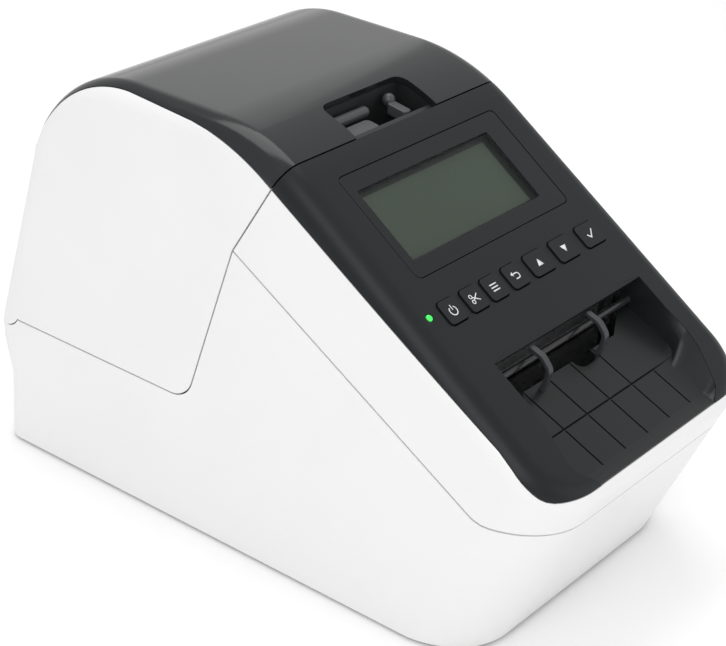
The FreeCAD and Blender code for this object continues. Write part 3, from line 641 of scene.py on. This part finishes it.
def lower_case():
    skin = Skin()
    lifted = [corner_crossing(-HALF_SEAM, t) for t in CORNER_SHARES]
    bottom = [corner_wall(t, CASE_Z) for t in CORNER_SHARES]
    top = [corner_wall(t, z) for t, z in zip(CORNER_SHARES, lifted)]
    skin.grid(ruled(bottom, top, 6))
    skin.grid(ruled(front_row(CASE_Z), front_row(lifted[0]), 6))
    rear_stops = stops(s_case_top, s_case_end)
    rear = [side_station(s) for s in rear_stops]
    rolled = level_end(strip(rear, zero, one, 8), CASE_Z, s_case_end)
    rolled = [row[::-1] for row in level_end([row[::-1] for row in rolled], CASE_REAR_TOP_Z, s_case_top)]
    skin.grid(rolled)
    # Side wall.
    front_edge = [row[-1][1:] for row in ruled(bottom, top, 6)]
    s0 = frame_seam.near(*front_edge[-1])[0]
    peak_frame = meeting(frame_seam, -HALF_SEAM, cover_seam, -HALF_SEAM)
    rise = frame_seam.between(s0, frame_seam.near(*peak_frame)[0], -HALF_SEAM)
    fall_start = cover_seam.near(*peak_frame)[0]
    trough = BARREL_R + BARREL_GAP
    drop = math.sqrt(trough ** 2 - (HINGE[1] - COVER_LINE_Z + HALF_SEAM) ** 2)
    fall = cover_seam.between(fall_start, cover_seam.near(HINGE[0] - drop, COVER_LINE_Z)[0], -HALF_SEAM)
    rear_y = rolled[0][0][1]
    a0 = math.atan2(COVER_LINE_Z - HALF_SEAM - HINGE[1], -drop) + 2 * math.pi
    a1 = 2 * math.pi - math.acos((rear_y - 1.0 - HINGE[0]) / trough)
    arc = [(HINGE[0] + trough * math.cos(a), HINGE[1] + trough * math.sin(a)) for a in np.linspace(a0, a1, 7)]
    rear_edge = [p[1:] for k, p in enumerate(rolled[0])
                 if k == 0 or np.linalg.norm(p - rolled[0][k - 1]) > TINY]
    bottom_edge = [np.array((y, CASE_Z)) for y in np.linspace(rear_edge[-1][0], front_edge[0][0], 22)]
    loop = [*front_edge, *rise[1:-1], peak_frame, *fall[1:], *arc[1:], *rear_edge, *bottom_edge[1:-1]]
    side_fill(skin, loop)
    skin.mirror()
    # Rear wall, full width, with its socket holes.
    holes = [(x - w / 2 - 0.3, x + w / 2 + 0.3, 8.5, 9.1 + h) for x, w, h in SOCKETS]
    edges_z = sorted({z for hole in holes for z in hole[2:]})
    extra = [crown.near(REAR_FOOT[0] + 0.2, z)[0] for z in edges_z]
    wall_stops = stops(s_case_top, s_case_end, extra)
    profile = [crown.at(s)[:2] for s in wall_stops]
    edge_x = [side_station(s).point(1)[0] for s in wall_stops]
    inner = sorted({x for hole in holes for x in hole[:2]})
    inner = sorted([*inner, *[x for x in np.arange(-48, 49, 6.0) if all(abs(x - q) > 2 for q in inner)]])
    columns = [[-x, *inner, x] for x in edge_x]
    for k in range(len(wall_stops) - 1):
        for i in range(len(inner) + 1):
            middle_x = (columns[k][i] + columns[k][i + 1]) / 2
            middle_z = (profile[k][1] + profile[k + 1][1]) / 2
            if not any(x0 < middle_x < x1 and z0 < middle_z < z1 for x0, x1, z0, z1 in holes):
                skin.face([(columns[r][j], *profile[r])
                           for r, j in ((k, i), (k, i + 1), (k + 1, i + 1), (k + 1, i))])
    skin.build("lower_case_skin", "base", WHITE, "white_plastic", "lower_case")


def meeting(first, first_offset, second, second_offset):
    """Point where two offset paths cross near the top of the lower case's rise."""
    best, found = 1e9, None
    for s in np.linspace(first.s[-1] - 12, first.s[-1], 200):
        y, z = first.at(s)[:2] + first_offset * first.at(s)[2:]
        gap = abs(second.near(y, z)[1] - second_offset)
        if gap < best:
            best, found = gap, np.array((y, z))
    return found


def front_frame():
    skin = Skin()
    # Round the front corner and across the front, from the seam up to the rolled edge, then over it.
    lifted = [corner_crossing(HALF_SEAM, t) for t in CORNER_SHARES]
    low_edge = [corner_wall(t, z) for t, z in zip(CORNER_SHARES, lifted)]
    high_edge = [st.point(0) for st in corner]
    skin.grid(ruled(low_edge, high_edge, 3))
    skin.grid(ruled(front_row(lifted[0]), [st.point(0) for st in [*front, corner[0]]], 3))
    skin.grid(strip([*front, *corner], zero, below_cap, 12))
    rolled = seam_strip(s_cap_stops, foot, below_cap, 12, -HALF_SEAM)
    skin.grid(rolled)
    # Side wall between the two seams.
    joint = meeting(frame_seam, HALF_SEAM, cover_seam, -HALF_SEAM)
    low_side = frame_seam.between(frame_seam.near(*low_edge[-1][1:])[0], frame_seam.near(*joint)[0], HALF_SEAM)
    s_joint = cover_seam.near(*joint)[0]
    top_point = rolled[0][-1][1:]
    rear_side = cover_seam.between(s_joint, cover_seam.near(*top_point)[0], -HALF_SEAM)
    top_side = [point[1:] for point in rolled[0]][::-1]
    front_side = [row[-1][1:] for row in ruled(low_edge, high_edge, 3)][::-1]
    side_fill(skin, [*low_side[:-1], joint, *rear_side[1:-1], *top_side, *front_side[1:]])
    skin.mirror()
    skin.build("front_frame_skin", "base", WHITE, "white_plastic", "front_frame")


def panel_hole(x0, x1, y0, y1, radius, steps=6):
    """Loop in (x, y) round a hole that is square to the panel, given its edges along x and y."""
    loop = rounded_rect(x0, x1, 0, (y1 - y0) / COS_P, radius, steps)
    return [(u, y0 + v * COS_P) for u, v in loop]


PLATE_Y, PLATE_HALF = (-49.0, -15.4), 41.4


def control_panel():
    skin = Skin()
    s_top = stops(s_corner, s_seam, (s_flat,))
    skin.grid(strip(corner, above_cap, one, 8))
    skin.grid(seam_strip(s_top, above_cap, one, 8, -HALF_SEAM))
    rear = seam_stations([s for s in s_top if s >= s_flat - TINY], one, -HALF_SEAM)
    skin.grid([flat_row(st, 0, 12) for st in rear])
    skin.mirror()
    for start, sign in ((OUTLET_LEFT[0][1], -1), (OUTLET_RIGHT[0][1], 1)):
        ends = np.linspace(start, sign * corner[0].centre[0], 5)
        lip = [Station((x, *corner[0].centre[1:]), N_FRONT, N_PANEL) for x in ends]
        skin.grid(strip(lip, above_cap, lambda st: 0.68 + 0.32 * (st.centre[0] - start) / (ends[-1] - start), 8))
    flat = [*corner, *[side_station(s) for s in s_top[1:] if s <= s_flat + TINY]]
    edge = [(st.point(1)[0], st.point(1)[1]) for st in flat]
    back_edge = [(p[0], p[1]) for p in flat_row(rear[0], 0, 12)][::-1][1:]
    half = [*edge, *back_edge]
    mirrored = [(-x, y) for x, y in half[::-1] if abs(x) > TINY]
    loop = [*half, *mirrored, *outlet_loop()]
    holes = [panel_hole(-PLATE_HALF, PLATE_HALF, *PLATE_Y, 2.5),
             panel_hole(LIGHT_X - 1.4, LIGHT_X + 1.4, LIGHT_Y - 1.4 * COS_P, LIGHT_Y + 1.4 * COS_P, 1.39)]
    for x, width in KEYS.values():
        half_key = width / 2 + KEY_GAP
        holes.append(panel_hole(x - half_key, x + half_key, KEY_Y - KEY_HALF_Y, KEY_Y + KEY_HALF_Y, 1.8))
    skin.fill(loop, holes, 4.0, on_panel)
    skin.build("control_panel_skin", "base", CHARCOAL, "charcoal_plastic", "control_panel", edge=0.28)


NOTCH_HALF, NOTCH_REAR_Y, NOTCH_R = 21.0, 9.0, 4.0


def roll_cover_top():
    skin = Skin()
    bends = [NOTCH_REAR_Y - NOTCH_R + NOTCH_R * math.sin(math.radians(a)) for a in (0, 22.5, 45, 67.5, 90)]
    bend_s = [crown_at_y(y) for y in bends]
    s_all = stops(s_seam, s_cap_end - 0.02, bend_s)
    stations = seam_stations(s_all, one, HALF_SEAM)
    skin.grid(seam_strip(s_all, above_cap, one, 8, HALF_SEAM))
    notched, full = [], []
    for s, st in zip(s_all, stations):
        y = crown.at(s)[0]
        if y < NOTCH_REAR_Y + 1e-3:
            lean = max(0.0, y - (NOTCH_REAR_Y - NOTCH_R))
            x0 = NOTCH_HALF - NOTCH_R + math.sqrt(max(0.0, NOTCH_R ** 2 - lean ** 2))
            notched.append(flat_row(st, x0, 9))
        if y > NOTCH_REAR_Y - 1e-3:
            x0 = NOTCH_HALF - NOTCH_R
            inner = [np.array((x, *st.point(1)[1:])) for x in np.linspace(0, x0, 5)[:-1]]
            full.append([*inner, *flat_row(st, x0, 9)])
    skin.grid(notched)
    skin.grid(full)
    skin.mirror()
    skin.build("roll_cover_top_skin", "cover", BLACK_GLOSS, "charcoal_plastic", "roll_cover_top", edge=0.35)


def crown_at_y(y):
    return bisect(0.0, crown.near(80, 145)[0], lambda s: crown.at(s)[0] >= y, 50)


COVER_FOOT_Z = COVER_LINE_Z + HALF_SEAM


def outer_x(y, z):
    """Half width of the outer form at a point of its side view."""
    depth = -crown.near(y, z)[1]
    drop = 0.0
    if depth < SHOULDER_R:
        drop = SHOULDER_R - math.sqrt(max(0.0, SHOULDER_R ** 2 - (SHOULDER_R - depth) ** 2))
    return half_width(z) - drop


def hinge_barrel():
    """The cover's rolled lower edge, open at the two hinge ears and flush with the walls round it."""
    bm = bmesh.new()
    ring = []
    for y, z in circle(*HINGE, BARREL_R, steps=48)[:-1]:
        gap = crown.near(y, z)[1] + 0.06
        if gap > 0:
            at = crown.at(crown.near(y, z)[0])
            y, z = y - gap * at[2], z - gap * at[3]
        ring.append((y, z))
    m, n = np.mean(ring, axis=0)

    def cap(share, x):
        """Ring drawn in towards the middle of the barrel's end, at x or on the outer form if x is None."""
        points = [(m + (y - m) * share, n + (z - n) * share) for y, z in ring]
        return [(min(61.8, outer_x(y, z) - 0.06) if x is None else x, y, z) for y, z in points]

    inner, outer = EAR_X - EAR_SLOT, EAR_X + EAR_SLOT
    for sign, first, last in ((1, outer, None), (-1, outer, None), (1, -inner, inner)):
        rows = [cap(share, first) for share in (0.02, 0.5, 1)]
        rows += [cap(share, last) for share in (1, 0.8, 0.5, 0.25, 0.02)]
        tube(bm, [[(sign * x, y, z) for x, y, z in row] for row in rows])
    solid("cover_hinge_barrel", bm, "cover", WHITE, "white_plastic", edge=0.3, angle=35.0)


def roll_cover_shell():
    skin = Skin()
    s_slot = crown.near(114, HINGE[1] + 8)[0]
    s_all = stops(s_seam, s_cap_end)
    banded = seam_strip(s_all, foot, below_cap, 10, HALF_SEAM)
    skin.grid(banded)
    s_rear = stops(s_cap_end + 0.12, s_cover_end, (s_slot,))
    rear = [side_station(s) for s in s_rear]
    last = side_station(s_all[-1])
    skin.grid(strip([last, rear[0]], foot, lambda st: below_cap(st) if st is last else 1.0, 10))
    rolled = level_end(strip(rear, foot, one, 10), COVER_FOOT_Z, s_cover_end)
    skin.grid(rolled)
    for k in range(len(rear) - 1):
        edges = [[0, 9, 18, 27, 36, EAR_X - EAR_SLOT, EAR_X + EAR_SLOT, st.point(1)[0]] for st in rear[k:k + 2]]
        for i in range(7):
            if i != 5 or s_rear[k] <= s_slot - TINY:
                skin.face([(edges[a][b], *rear[k + a].point(1)[1:])
                           for a, b in ((0, i), (0, i + 1), (1, i + 1), (1, i))])
    # Side wall.
    front_edge = cover_seam.between(cover_seam.near(*banded[0][0][1:])[0],
                                    cover_seam.near(rolled[0][-1][1], COVER_LINE_Z)[0], HALF_SEAM)
    top_edge = [point[1:] for point in [*banded[0], *rolled[0]]]
    side_fill(skin, [*top_edge, *front_edge[::-1][1:-1]])
    skin.mirror()
    skin.build("roll_cover_shell_skin", "cover", WHITE, "white_plastic", "roll_cover_shell")


# --- parts of the control panel ---
def tube(bm, rows):
    """Closed tube over rings of points, with flat ends."""
    rings = [[bm.verts.new(point) for point in row] for row in rows]
    for a, b in zip(rings, rings[1:]):
        for k in range(len(a)):
            bm.faces.new((a[k - 1], a[k], b[k], b[k - 1]))
    bm.faces.new(rings[0])
    bm.faces.new(rings[-1][::-1])


def prism(bm, loop, low, high, place):
    """Closed solid over a convex or gently curved 2-D loop, between two heights given to place."""
    bottom = [bm.verts.new(place(u, v, low)) for u, v in loop]
    top = [bm.verts.new(place(u, v, high)) for u, v in loop]
    for k in range(len(loop)):
        bm.faces.new((bottom[k - 1], bottom[k], top[k], top[k - 1]))
    bm.faces.new(bottom[::-1])
    bm.faces.new(top)


def solid(name, bm, body, material, slot, *replaced, edge=0.0, segments=2, angle=30.0):
    """A closed piece, with its edges rounded where edge is above 0."""
    bmesh.ops.recalc_face_normals(bm, faces=bm.faces)
    obj = new_object(name, finish_mesh(bm, name), body, material, slot, *replaced)
    if edge:
        bevel(obj, edge, segments, angle)
    return obj


def key_face(x, y):
    """Places (right, up the slope, lift) about a point of the panel's face."""
    def place(u, v, lift):
        return on_panel(x + u, y + v * COS_P, lift)
    return place


def window_parts():
    skin = Skin()
    outer = panel_hole(-PLATE_HALF + 0.3, PLATE_HALF - 0.3, PLATE_Y[0] + 0.25, PLATE_Y[1] - 0.25, 2.2)
    opening = panel_hole(*LCD_X, *LCD_Y, 1.0, 4)
    skin.fill(outer, [opening], 9.0, lambda x, y: on_panel(x, y, -0.1))
    skin.build("display_window_frame", "base", WINDOW, "window", "display_window", thickness=1.0, edge=0.15)
    pane = bmesh.new()
    prism(pane, panel_hole(LCD_X[0] + 0.05, LCD_X[1] - 0.05, LCD_Y[0] + 0.05, LCD_Y[1] - 0.05, 1.0, 4), -1.0, -0.16,
          on_panel)
    solid("display_window_pane", pane, "base", CLEAR, "window", edge=0.1)
    screen = bmesh.new()
    prism(screen, panel_hole(LCD_X[0] + 1.2, LCD_X[1] - 2.4, LCD_Y[0] + 0.8, LCD_Y[1] - 1.6, 0.6, 4), -2.6, -2.35,
          on_panel)
    solid("display_screen", screen, "base", SCREEN, "display", edge=0.08)


def stroke(bm, points, width, place, lift=INK_LIFT, closed=False):
    """Line of ink along 2-D points, with mitred turns."""
    points = [np.array(p, float) for p in points]
    count = len(points)
    pairs = []
    for k in range(count):
        before = points[k] - points[k - 1] if k or closed else points[1] - points[0]
        after = points[(k + 1) % count] - points[k] if k < count - 1 or closed else before
        a, b = unit(before), unit(after)
        across = unit(np.array((-a[1] - b[1], a[0] + b[0])))
        reach = width / 2 / max(0.4, float(across @ (-a[1], a[0])))
        pairs.append([bm.verts.new(place(*(points[k] + side * reach * across), lift)) for side in (1, -1)])
    for k in range(count if closed else count - 1):
        (a, b), (c, d) = pairs[k], pairs[(k + 1) % count]
        bm.faces.new((a, b, d, c))


def blot(bm, points, place):
    bm.faces.new([bm.verts.new(place(u, v, INK_LIFT)) for u, v in points])


def circle(cu, cv, radius, start=0.0, end=360.0, steps=18):
    span = np.linspace(math.radians(start), math.radians(end), steps + 1)
    return [(cu + radius * math.cos(a), cv + radius * math.sin(a)) for a in span]


def icon(name, draw):
    """Thin printed mark on a key, carried by that key."""
    bm = bmesh.new()
    draw(bm, key_face(KEYS[name][0], KEY_Y))
    for face in bm.faces:
        if face.normal.dot(Vector(N_PANEL)) < 0:
            face.normal_flip()
    obj = new_object(name + "_icon", finish_mesh(bm, name + "_icon", weld=0.002), name + "_body", LEGEND,
                     "key_plastic")
    ink = obj.modifiers.new("ink", "SOLIDIFY")
    ink.thickness = 0.05 * MM
    ink.offset = -1


def draw_power(bm, place):
    stroke(bm, circle(0, -0.15, 1.55, 125, 415, 24), 0.36, place)
    stroke(bm, [(0, 0.1), (0, 2.0)], 0.36, place)


def draw_scissors(bm, place):
    for side in (1, -1):
        stroke(bm, circle(-1.35, 0.95 * side, 0.62, steps=16)[:-1], 0.30, place, closed=True)
        stroke(bm, [(-0.88, 0.58 * side), (1.9, -1.25 * side)], 0.36, place, lift=INK_LIFT + 0.003 * side)


def draw_bars(bm, place):
    for v in (-1.1, 0.0, 1.1):
        stroke(bm, [(-1.7, v), (1.7, v)], 0.42, place)


def draw_back(bm, place):
    stroke(bm, [(-0.9, 0.75), (0.75, 0.75), *circle(0.75, -0.2, 0.95, 80, -80, 10), (0.7, -1.15), (-0.7, -1.15)],
           0.38, place)
    blot(bm, [(-2.0, 0.75), (-0.85, -0.1), (-0.85, 1.6)], place)


def draw_up(bm, place):
    blot(bm, [(-1.45, -1.15), (1.45, -1.15), (0, 1.35)], place)


def draw_down(bm, place):
    blot(bm, [(-1.45, 1.15), (0, -1.35), (1.45, 1.15)], place)


def draw_check(bm, place):
    stroke(bm, [(-1.8, 0.1), (-0.5, -1.2), (1.9, 1.5)], 0.48, place)


# --- label outlet ---
# Each table runs from the lip to the rear: (y, x) for the outlet's edges and the floor's, (y, z) for the lines.
OUTLET_LEFT = ((-115.35, -34.5), (-114.1, -36.0), (-112.85, -37.85), (-111.5, -39.9), (-110, -41.6),
               (-106, -41.3), (-102, -40.0), (-97, -39.0), (-90, -38.3), (-77.0, -38.8))
OUTLET_RIGHT = ((-115.35, 33.7), (-114.1, 35.6), (-112.85, 37.85), (-110, 39.8), (-107, 41.6), (-103.7, 43.4),
                (-101, 44.6), (-97, 45.3), (-93, 45.0), (-88, 44.4), (-77.0, 44.1))
FLOOR_LEFT = ((-115.35, -34.2), (-112.85, -36.6), (-111, -38.6), (-109, -39.6), (-105, -39.0), (-97, -38.4),
              (-90, -38.0), (-77.0, -38.5))
FLOOR_RIGHT = ((-115.35, 33.3), (-112.85, 33.6), (-106, 33.9), (-99, 34.4), (-97.5, 35.4), (-95.5, 38.8),
               (-93.5, 41.7), (-90, 42.6), (-77.0, 43.0))
FLOOR_LINE = ((-115.35, 64.40), (-112.85, 64.75), (-110.5, 65.30), (-96.0, 71.35), (-80.7, 77.70), (-70, 82.1))
LIP_LINE = ((-115.35, 64.45), (-114.6, 65.4), (-113.7, 66.3), (-112.85, 66.8), (-112.0, 99.0))
LIP_POINTS = 3          # points of the outlet's edges that lie on the rolled lip, before the flat begins
GROOVES, CROSS_GROOVE_Y, GROOVE_HALF, GROOVE_DEPTH = (-26.0, -13.0, 0.0, 13.0, 26.0), -96.0, 0.26, 0.7
TRAY_Y = (-115.35, -115.0, -114.6, -114.1, -113.5, -112.85, -112.2, -111.2, -110.8, -110.4, -109, -107.5, -106,
          -105, -103.5, -102, -100.5, -99, -97.5, -96.34, -96.24, -95.76, -95.66, -94, -92, -90, -88, -86, -84,
          -82.5, -81, -79.2, -77.1, -74.5, -71.0)
TRAY_X = sorted([-31.0, -20, -6.5, 1.3, 1.6, 2.6, 4.4, 6.8, 9.2, 11.0, 12.0, 12.3, 19.5,
                 *[g + d for g in GROOVES for d in (-0.34, -0.24, 0.24, 0.34)]])
BITE_X, BITE_HALF, BITE_DEPTH = 6.8, 5.5, 3.6          # rounded cut in the floor's rear edge


def read(table, y):
    return float(np.interp(y, [row[0] for row in table], [row[1] for row in table]))


def outlet_loop():
    """Edge of the outlet on the panel's flat, from its left end at the lip round to its right end."""
    left, right = [[(x, y) for y, x in table[LIP_POINTS:]] for table in (OUTLET_LEFT, OUTLET_RIGHT)]
    return [*left, *right[::-1]]


def output_tray():
    """Scooped floor of the outlet: it runs out flush at the lip and flares at both front corners."""
    skin = Skin()
    grid = []
    front_y, rear_y = -92, -71.0        # between these the rows draw in to the floor's rear edge
    for y in TRAY_Y:
        top = min(panel_z(y) - (0.12 if y < -77 else 2.8), read(LIP_LINE, y))
        base = min(read(FLOOR_LINE, y), top)
        left, left_foot = read(OUTLET_LEFT, y) + 0.15, read(FLOOR_LEFT, y) + 0.1
        right, right_foot = read(OUTLET_RIGHT, y) - 0.15, read(FLOOR_RIGHT, y) - 0.1
        row = [np.array((left + (left_foot - left) * t, y, top + (base - top) * t)) for t in np.linspace(0, 1, 6)]
        for x in TRAY_X:
            edge = -80.2 if x > -30 else -86.0
            if abs(x - BITE_X) < BITE_HALF + 0.05:
                edge -= BITE_DEPTH * math.sqrt(max(0.0, 1 - (abs(x - BITE_X) / BITE_HALF) ** 4))
            yy = y if y < front_y else front_y + (y - front_y) * (edge - front_y) / (rear_y - front_y)
            along = any(abs(x - g) < GROOVE_HALF for g in GROOVES)
            along = along and -110.6 < yy and (x < 20 or yy < -95.9)
            deep = along or abs(yy - CROSS_GROOVE_Y) < GROOVE_HALF
            row.append(np.array((x, yy, read(FLOOR_LINE, yy) - deep * GROOVE_DEPTH)))
        row += [np.array((right_foot + (right - right_foot) * t, y, base + (top - base) * t))
                for t in np.linspace(0, 1, 6)]
        grid.append(row)
    skin.grid(grid)
    skin.build("output_tray_scoop", "base", TRAY, "black_plastic", "output_tray", thickness=1.2, edge=0.15,
               centre=(0, -95, 40))


def turned(bm, profile, place, steps=28):
    """Solid of revolution; profile rows are (radius, along) and place turns (u, v, along) into a point."""
    rings = []
    for radius, along in profile:
        if radius < TINY:
            rings.append([bm.verts.new(place(0, 0, along))] * steps)
        else:
            rings.append([bm.verts.new(place(u, v, along)) for u, v in circle(0, 0, radius, steps=steps)[:-1]])
    for a, b in zip(rings, rings[1:]):
        for k in range(steps):
            kept = list(dict.fromkeys((a[k - 1], a[k], b[k], b[k - 1])))
            if len(kept) > 2:
                bm.faces.new(kept)


def capsule(radius, low, high):
    """Profile of a round bar with domed ends, for turned."""
    rows = [(radius * math.sin(a), low + radius - radius * math.cos(a)) for a in np.linspace(0, math.pi / 2, 6)]
    return rows + [(r, low + high - along) for r, along in rows[::-1]]


def outlet_fingers():
    """Two curved fingers that hold the label down as it comes out."""
    path = Path([(-76.4, 89.4), (-81.4, 87.7), (-84.4, 84.2), (-83.4, 79.6), (-82.2, 76.6)], [0, 3, 3, 3, 0],
                chord=0.7, straight=1.5)
    half, width = 0.8, 1.2
    outer, inner = [[path.at(s)[:2] + side * path.at(s)[2:] for s in path.s] for side in (half, -half)]
    bm = bmesh.new()
    for x in (-18.5, 13.5):
        def face(*corners):
            bm.faces.new([bm.verts.new((x + side * width, *point)) for side, point in corners])

        for k in range(len(outer) - 1):
            quad = (outer[k], outer[k + 1], inner[k + 1], inner[k])
            face(*[(-1, point) for point in quad])
            face(*[(1, point) for point in quad[::-1]])
            for a, b in (quad[:2], quad[2:]):
                face((-1, a), (1, a), (1, b), (-1, b))
        for a, b in ((outer[0], inner[0]), (outer[-1], inner[-1])):
            face((-1, a), (-1, b), (1, b), (1, a))
    bmesh.ops.remove_doubles(bm, verts=bm.verts, dist=0.01)
    solid("outlet_fingers", bm, "base", RIB, "rib_plastic", "outlet_ribs", edge=0.35, segments=3)


def outlet_rod():
    """Round bar across the outlet, behind the fingers."""
    bm = bmesh.new()
    turned(bm, capsule(1.3, -37.5, 41.5), lambda u, v, along: (along, -75.6 + u, 84.0 + v))
    solid("outlet_rod", bm, "base", ROD, "black_plastic")


def grip_parts():
    """Inside of the finger well: a rounded bar, a knob and its lever, and a flat rest."""
    bm = bmesh.new()
    turned(bm, capsule(2.0, -20.4, 1.8), lambda u, v, along: (along, 6.6 + u, 136.6 + v))
    turned(bm, capsule(2.2, -2.2, 2.25), lambda u, v, along: (12.6 + u, 6.2 + v, 137.6 + along))
    prism(bm, rounded_rect(9.2, 13.0, -3.2, 4.6, 1.2), 133.6, 137.2, lambda u, v, z: (u, v, z + 0.15 * v))
    prism(bm, rounded_rect(-20.4, -3.0, -3.3, 2.8, 2.0), 134.0, 135.9, lambda u, v, z: (u, v, z + 0.15 * v))
    solid("grip_parts", bm, "cover", GRIP, "black_plastic", "grip_bar", edge=0.35, segments=3, angle=40)


def lamp():
    bm = bmesh.new()
    rows = [(0, -4.3), (1.15, -4.3), (1.15, -0.1), (1.02, 0.05), (0.75, 0.16), (0.4, 0.2), (0, 0.2)]
    turned(bm, rows, key_face(LIGHT_X, LIGHT_Y), 24)
    solid("status_light_dome", bm, "base", LAMP, "light", "status_light")


def spring_coils():
    """Two coils under the spring plate."""
    coil, wire, turns, around = 2.6, 0.45, 5, 28
    count = turns * around
    low, high = 79.9 + wire, 87.9 - wire
    bm = bmesh.new()
    for x in (-20, 20):
        rows = []
        for k in range(count + 1):
            out = Vector((math.cos(2 * math.pi * k / around), math.sin(2 * math.pi * k / around), 0))
            middle = Vector((x, -50, low + (high - low) * k / count)) + coil * out
            rows.append([middle + u * out + Vector((0, 0, v)) for u, v in circle(0, 0, wire, steps=8)[:-1]])
        tube(bm, rows)
    coils = solid("head_spring_coils", bm, "base", STEEL, "steel", "head_springs")
    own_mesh(coils)


lower_case()
front_frame()
control_panel()
roll_cover_top()
roll_cover_shell()
hinge_barrel()
window_parts()
for key, drawing in zip(KEYS, (draw_power, draw_scissors, draw_bars, draw_back, draw_up, draw_down, draw_check)):
    icon(key, drawing)
lamp()
output_tray()
outlet_fingers()
outlet_rod()
grip_parts()
spring_coils()
ROUNDED = {
    0.4: ("rubber_feet",),
    0.3: (*KEYS, "cover_well", "roll_guide_left", "roll_guide_right", "base_plate", "label_roll"),
    0.25: ("hinge_brackets", "mains_inlet", "head_bracket", "front_bulkhead"),
    0.2: ("network_socket", "roll_core", "mechanism_chassis", "label_guide"),
    0.15: ("usb_host_socket", "usb_device_socket", "print_head"),
}
for width, names in ROUNDED.items():
    for name in names:
        bevel(NODES[name], width, 2, 40)

# --- stage, light and camera ---
CAMERA_AT = (-489.56, -358.62, 379.34)
CAMERA_AZIMUTH, CAMERA_ELEVATION, CAMERA_ROLL = (math.radians(a) for a in (-53.7, 27.6, 4.01))
LENS, SENSOR_WIDTH = 100.55, 36.0


def add_camera():
    back = np.array((math.sin(CAMERA_AZIMUTH) * math.cos(CAMERA_ELEVATION),
                     -math.cos(CAMERA_AZIMUTH) * math.cos(CAMERA_ELEVATION), math.sin(CAMERA_ELEVATION)))
    right = unit(np.cross(-back, (0, 0, 1)))
    up = np.cross(right, -back)
    c, s = math.cos(CAMERA_ROLL), math.sin(CAMERA_ROLL)
    right, up = c * right + s * up, -s * right + c * up
    data = bpy.data.cameras.new("camera")
    data.lens, data.sensor_width = LENS, SENSOR_WIDTH
    data.clip_start, data.clip_end = 0.01, 20
    obj = add_object("camera", data)
    matrix = Matrix.Identity(4)
    for k in range(3):
        matrix[k][0], matrix[k][1], matrix[k][2] = right[k], up[k], back[k]
        matrix[k][3] = CAMERA_AT[k] * MM
    obj.matrix_world = matrix
    bpy.context.scene.camera = obj


def area_light(name, at, target, size, power):
    data = bpy.data.lights.new(name, "AREA")
    data.shape = "RECTANGLE"
    data.size, data.size_y = size
    data.energy = power
    obj = add_object(name, data)
    obj.location = at
    obj.rotation_euler = (Vector(target) - Vector(at)).to_track_quat("-Z", "Y").to_euler()


bpy.context.scene.view_settings.view_transform = "Standard"
add_camera()
area_light("key_softbox", (-0.75, -0.45, 0.75), (0, 0, 0.06), (0.7, 0.7), 3.5)
area_light("top_softbox", (0.10, 0.25, 1.1), (0, 0, 0.08), (0.9, 0.6), 4.0)
area_light("rear_strip", (0.75, 0.75, 0.55), (0, 0, 0.09), (0.5, 0.8), 0.5)
area_light("front_fill", (0.35, -1.0, 0.35), (0, 0, 0.06), (0.8, 0.6), 0.9)
world = bpy.data.worlds.new("world")
bpy.context.scene.world = world
world.use_nodes = True
put(world.node_tree.nodes["Background"], {"Color": (1, 1, 1, 1), "Strength": 0.74})

floor_bm = bmesh.new()
bmesh.ops.create_grid(floor_bm, x_segments=8, y_segments=8, size=4.0)
floor_mesh = bpy.data.meshes.new("floor")
floor_bm.to_mesh(floor_mesh)
floor_bm.free()
floor = add_object("floor", floor_mesh)
floor.location.z = CAD_BOX[0].z
floor_mesh.materials.append(material("floor_pale", (0.95, 0.95, 0.95), 0.6, grain=2.0, bump=0.02, mottle=0.004))
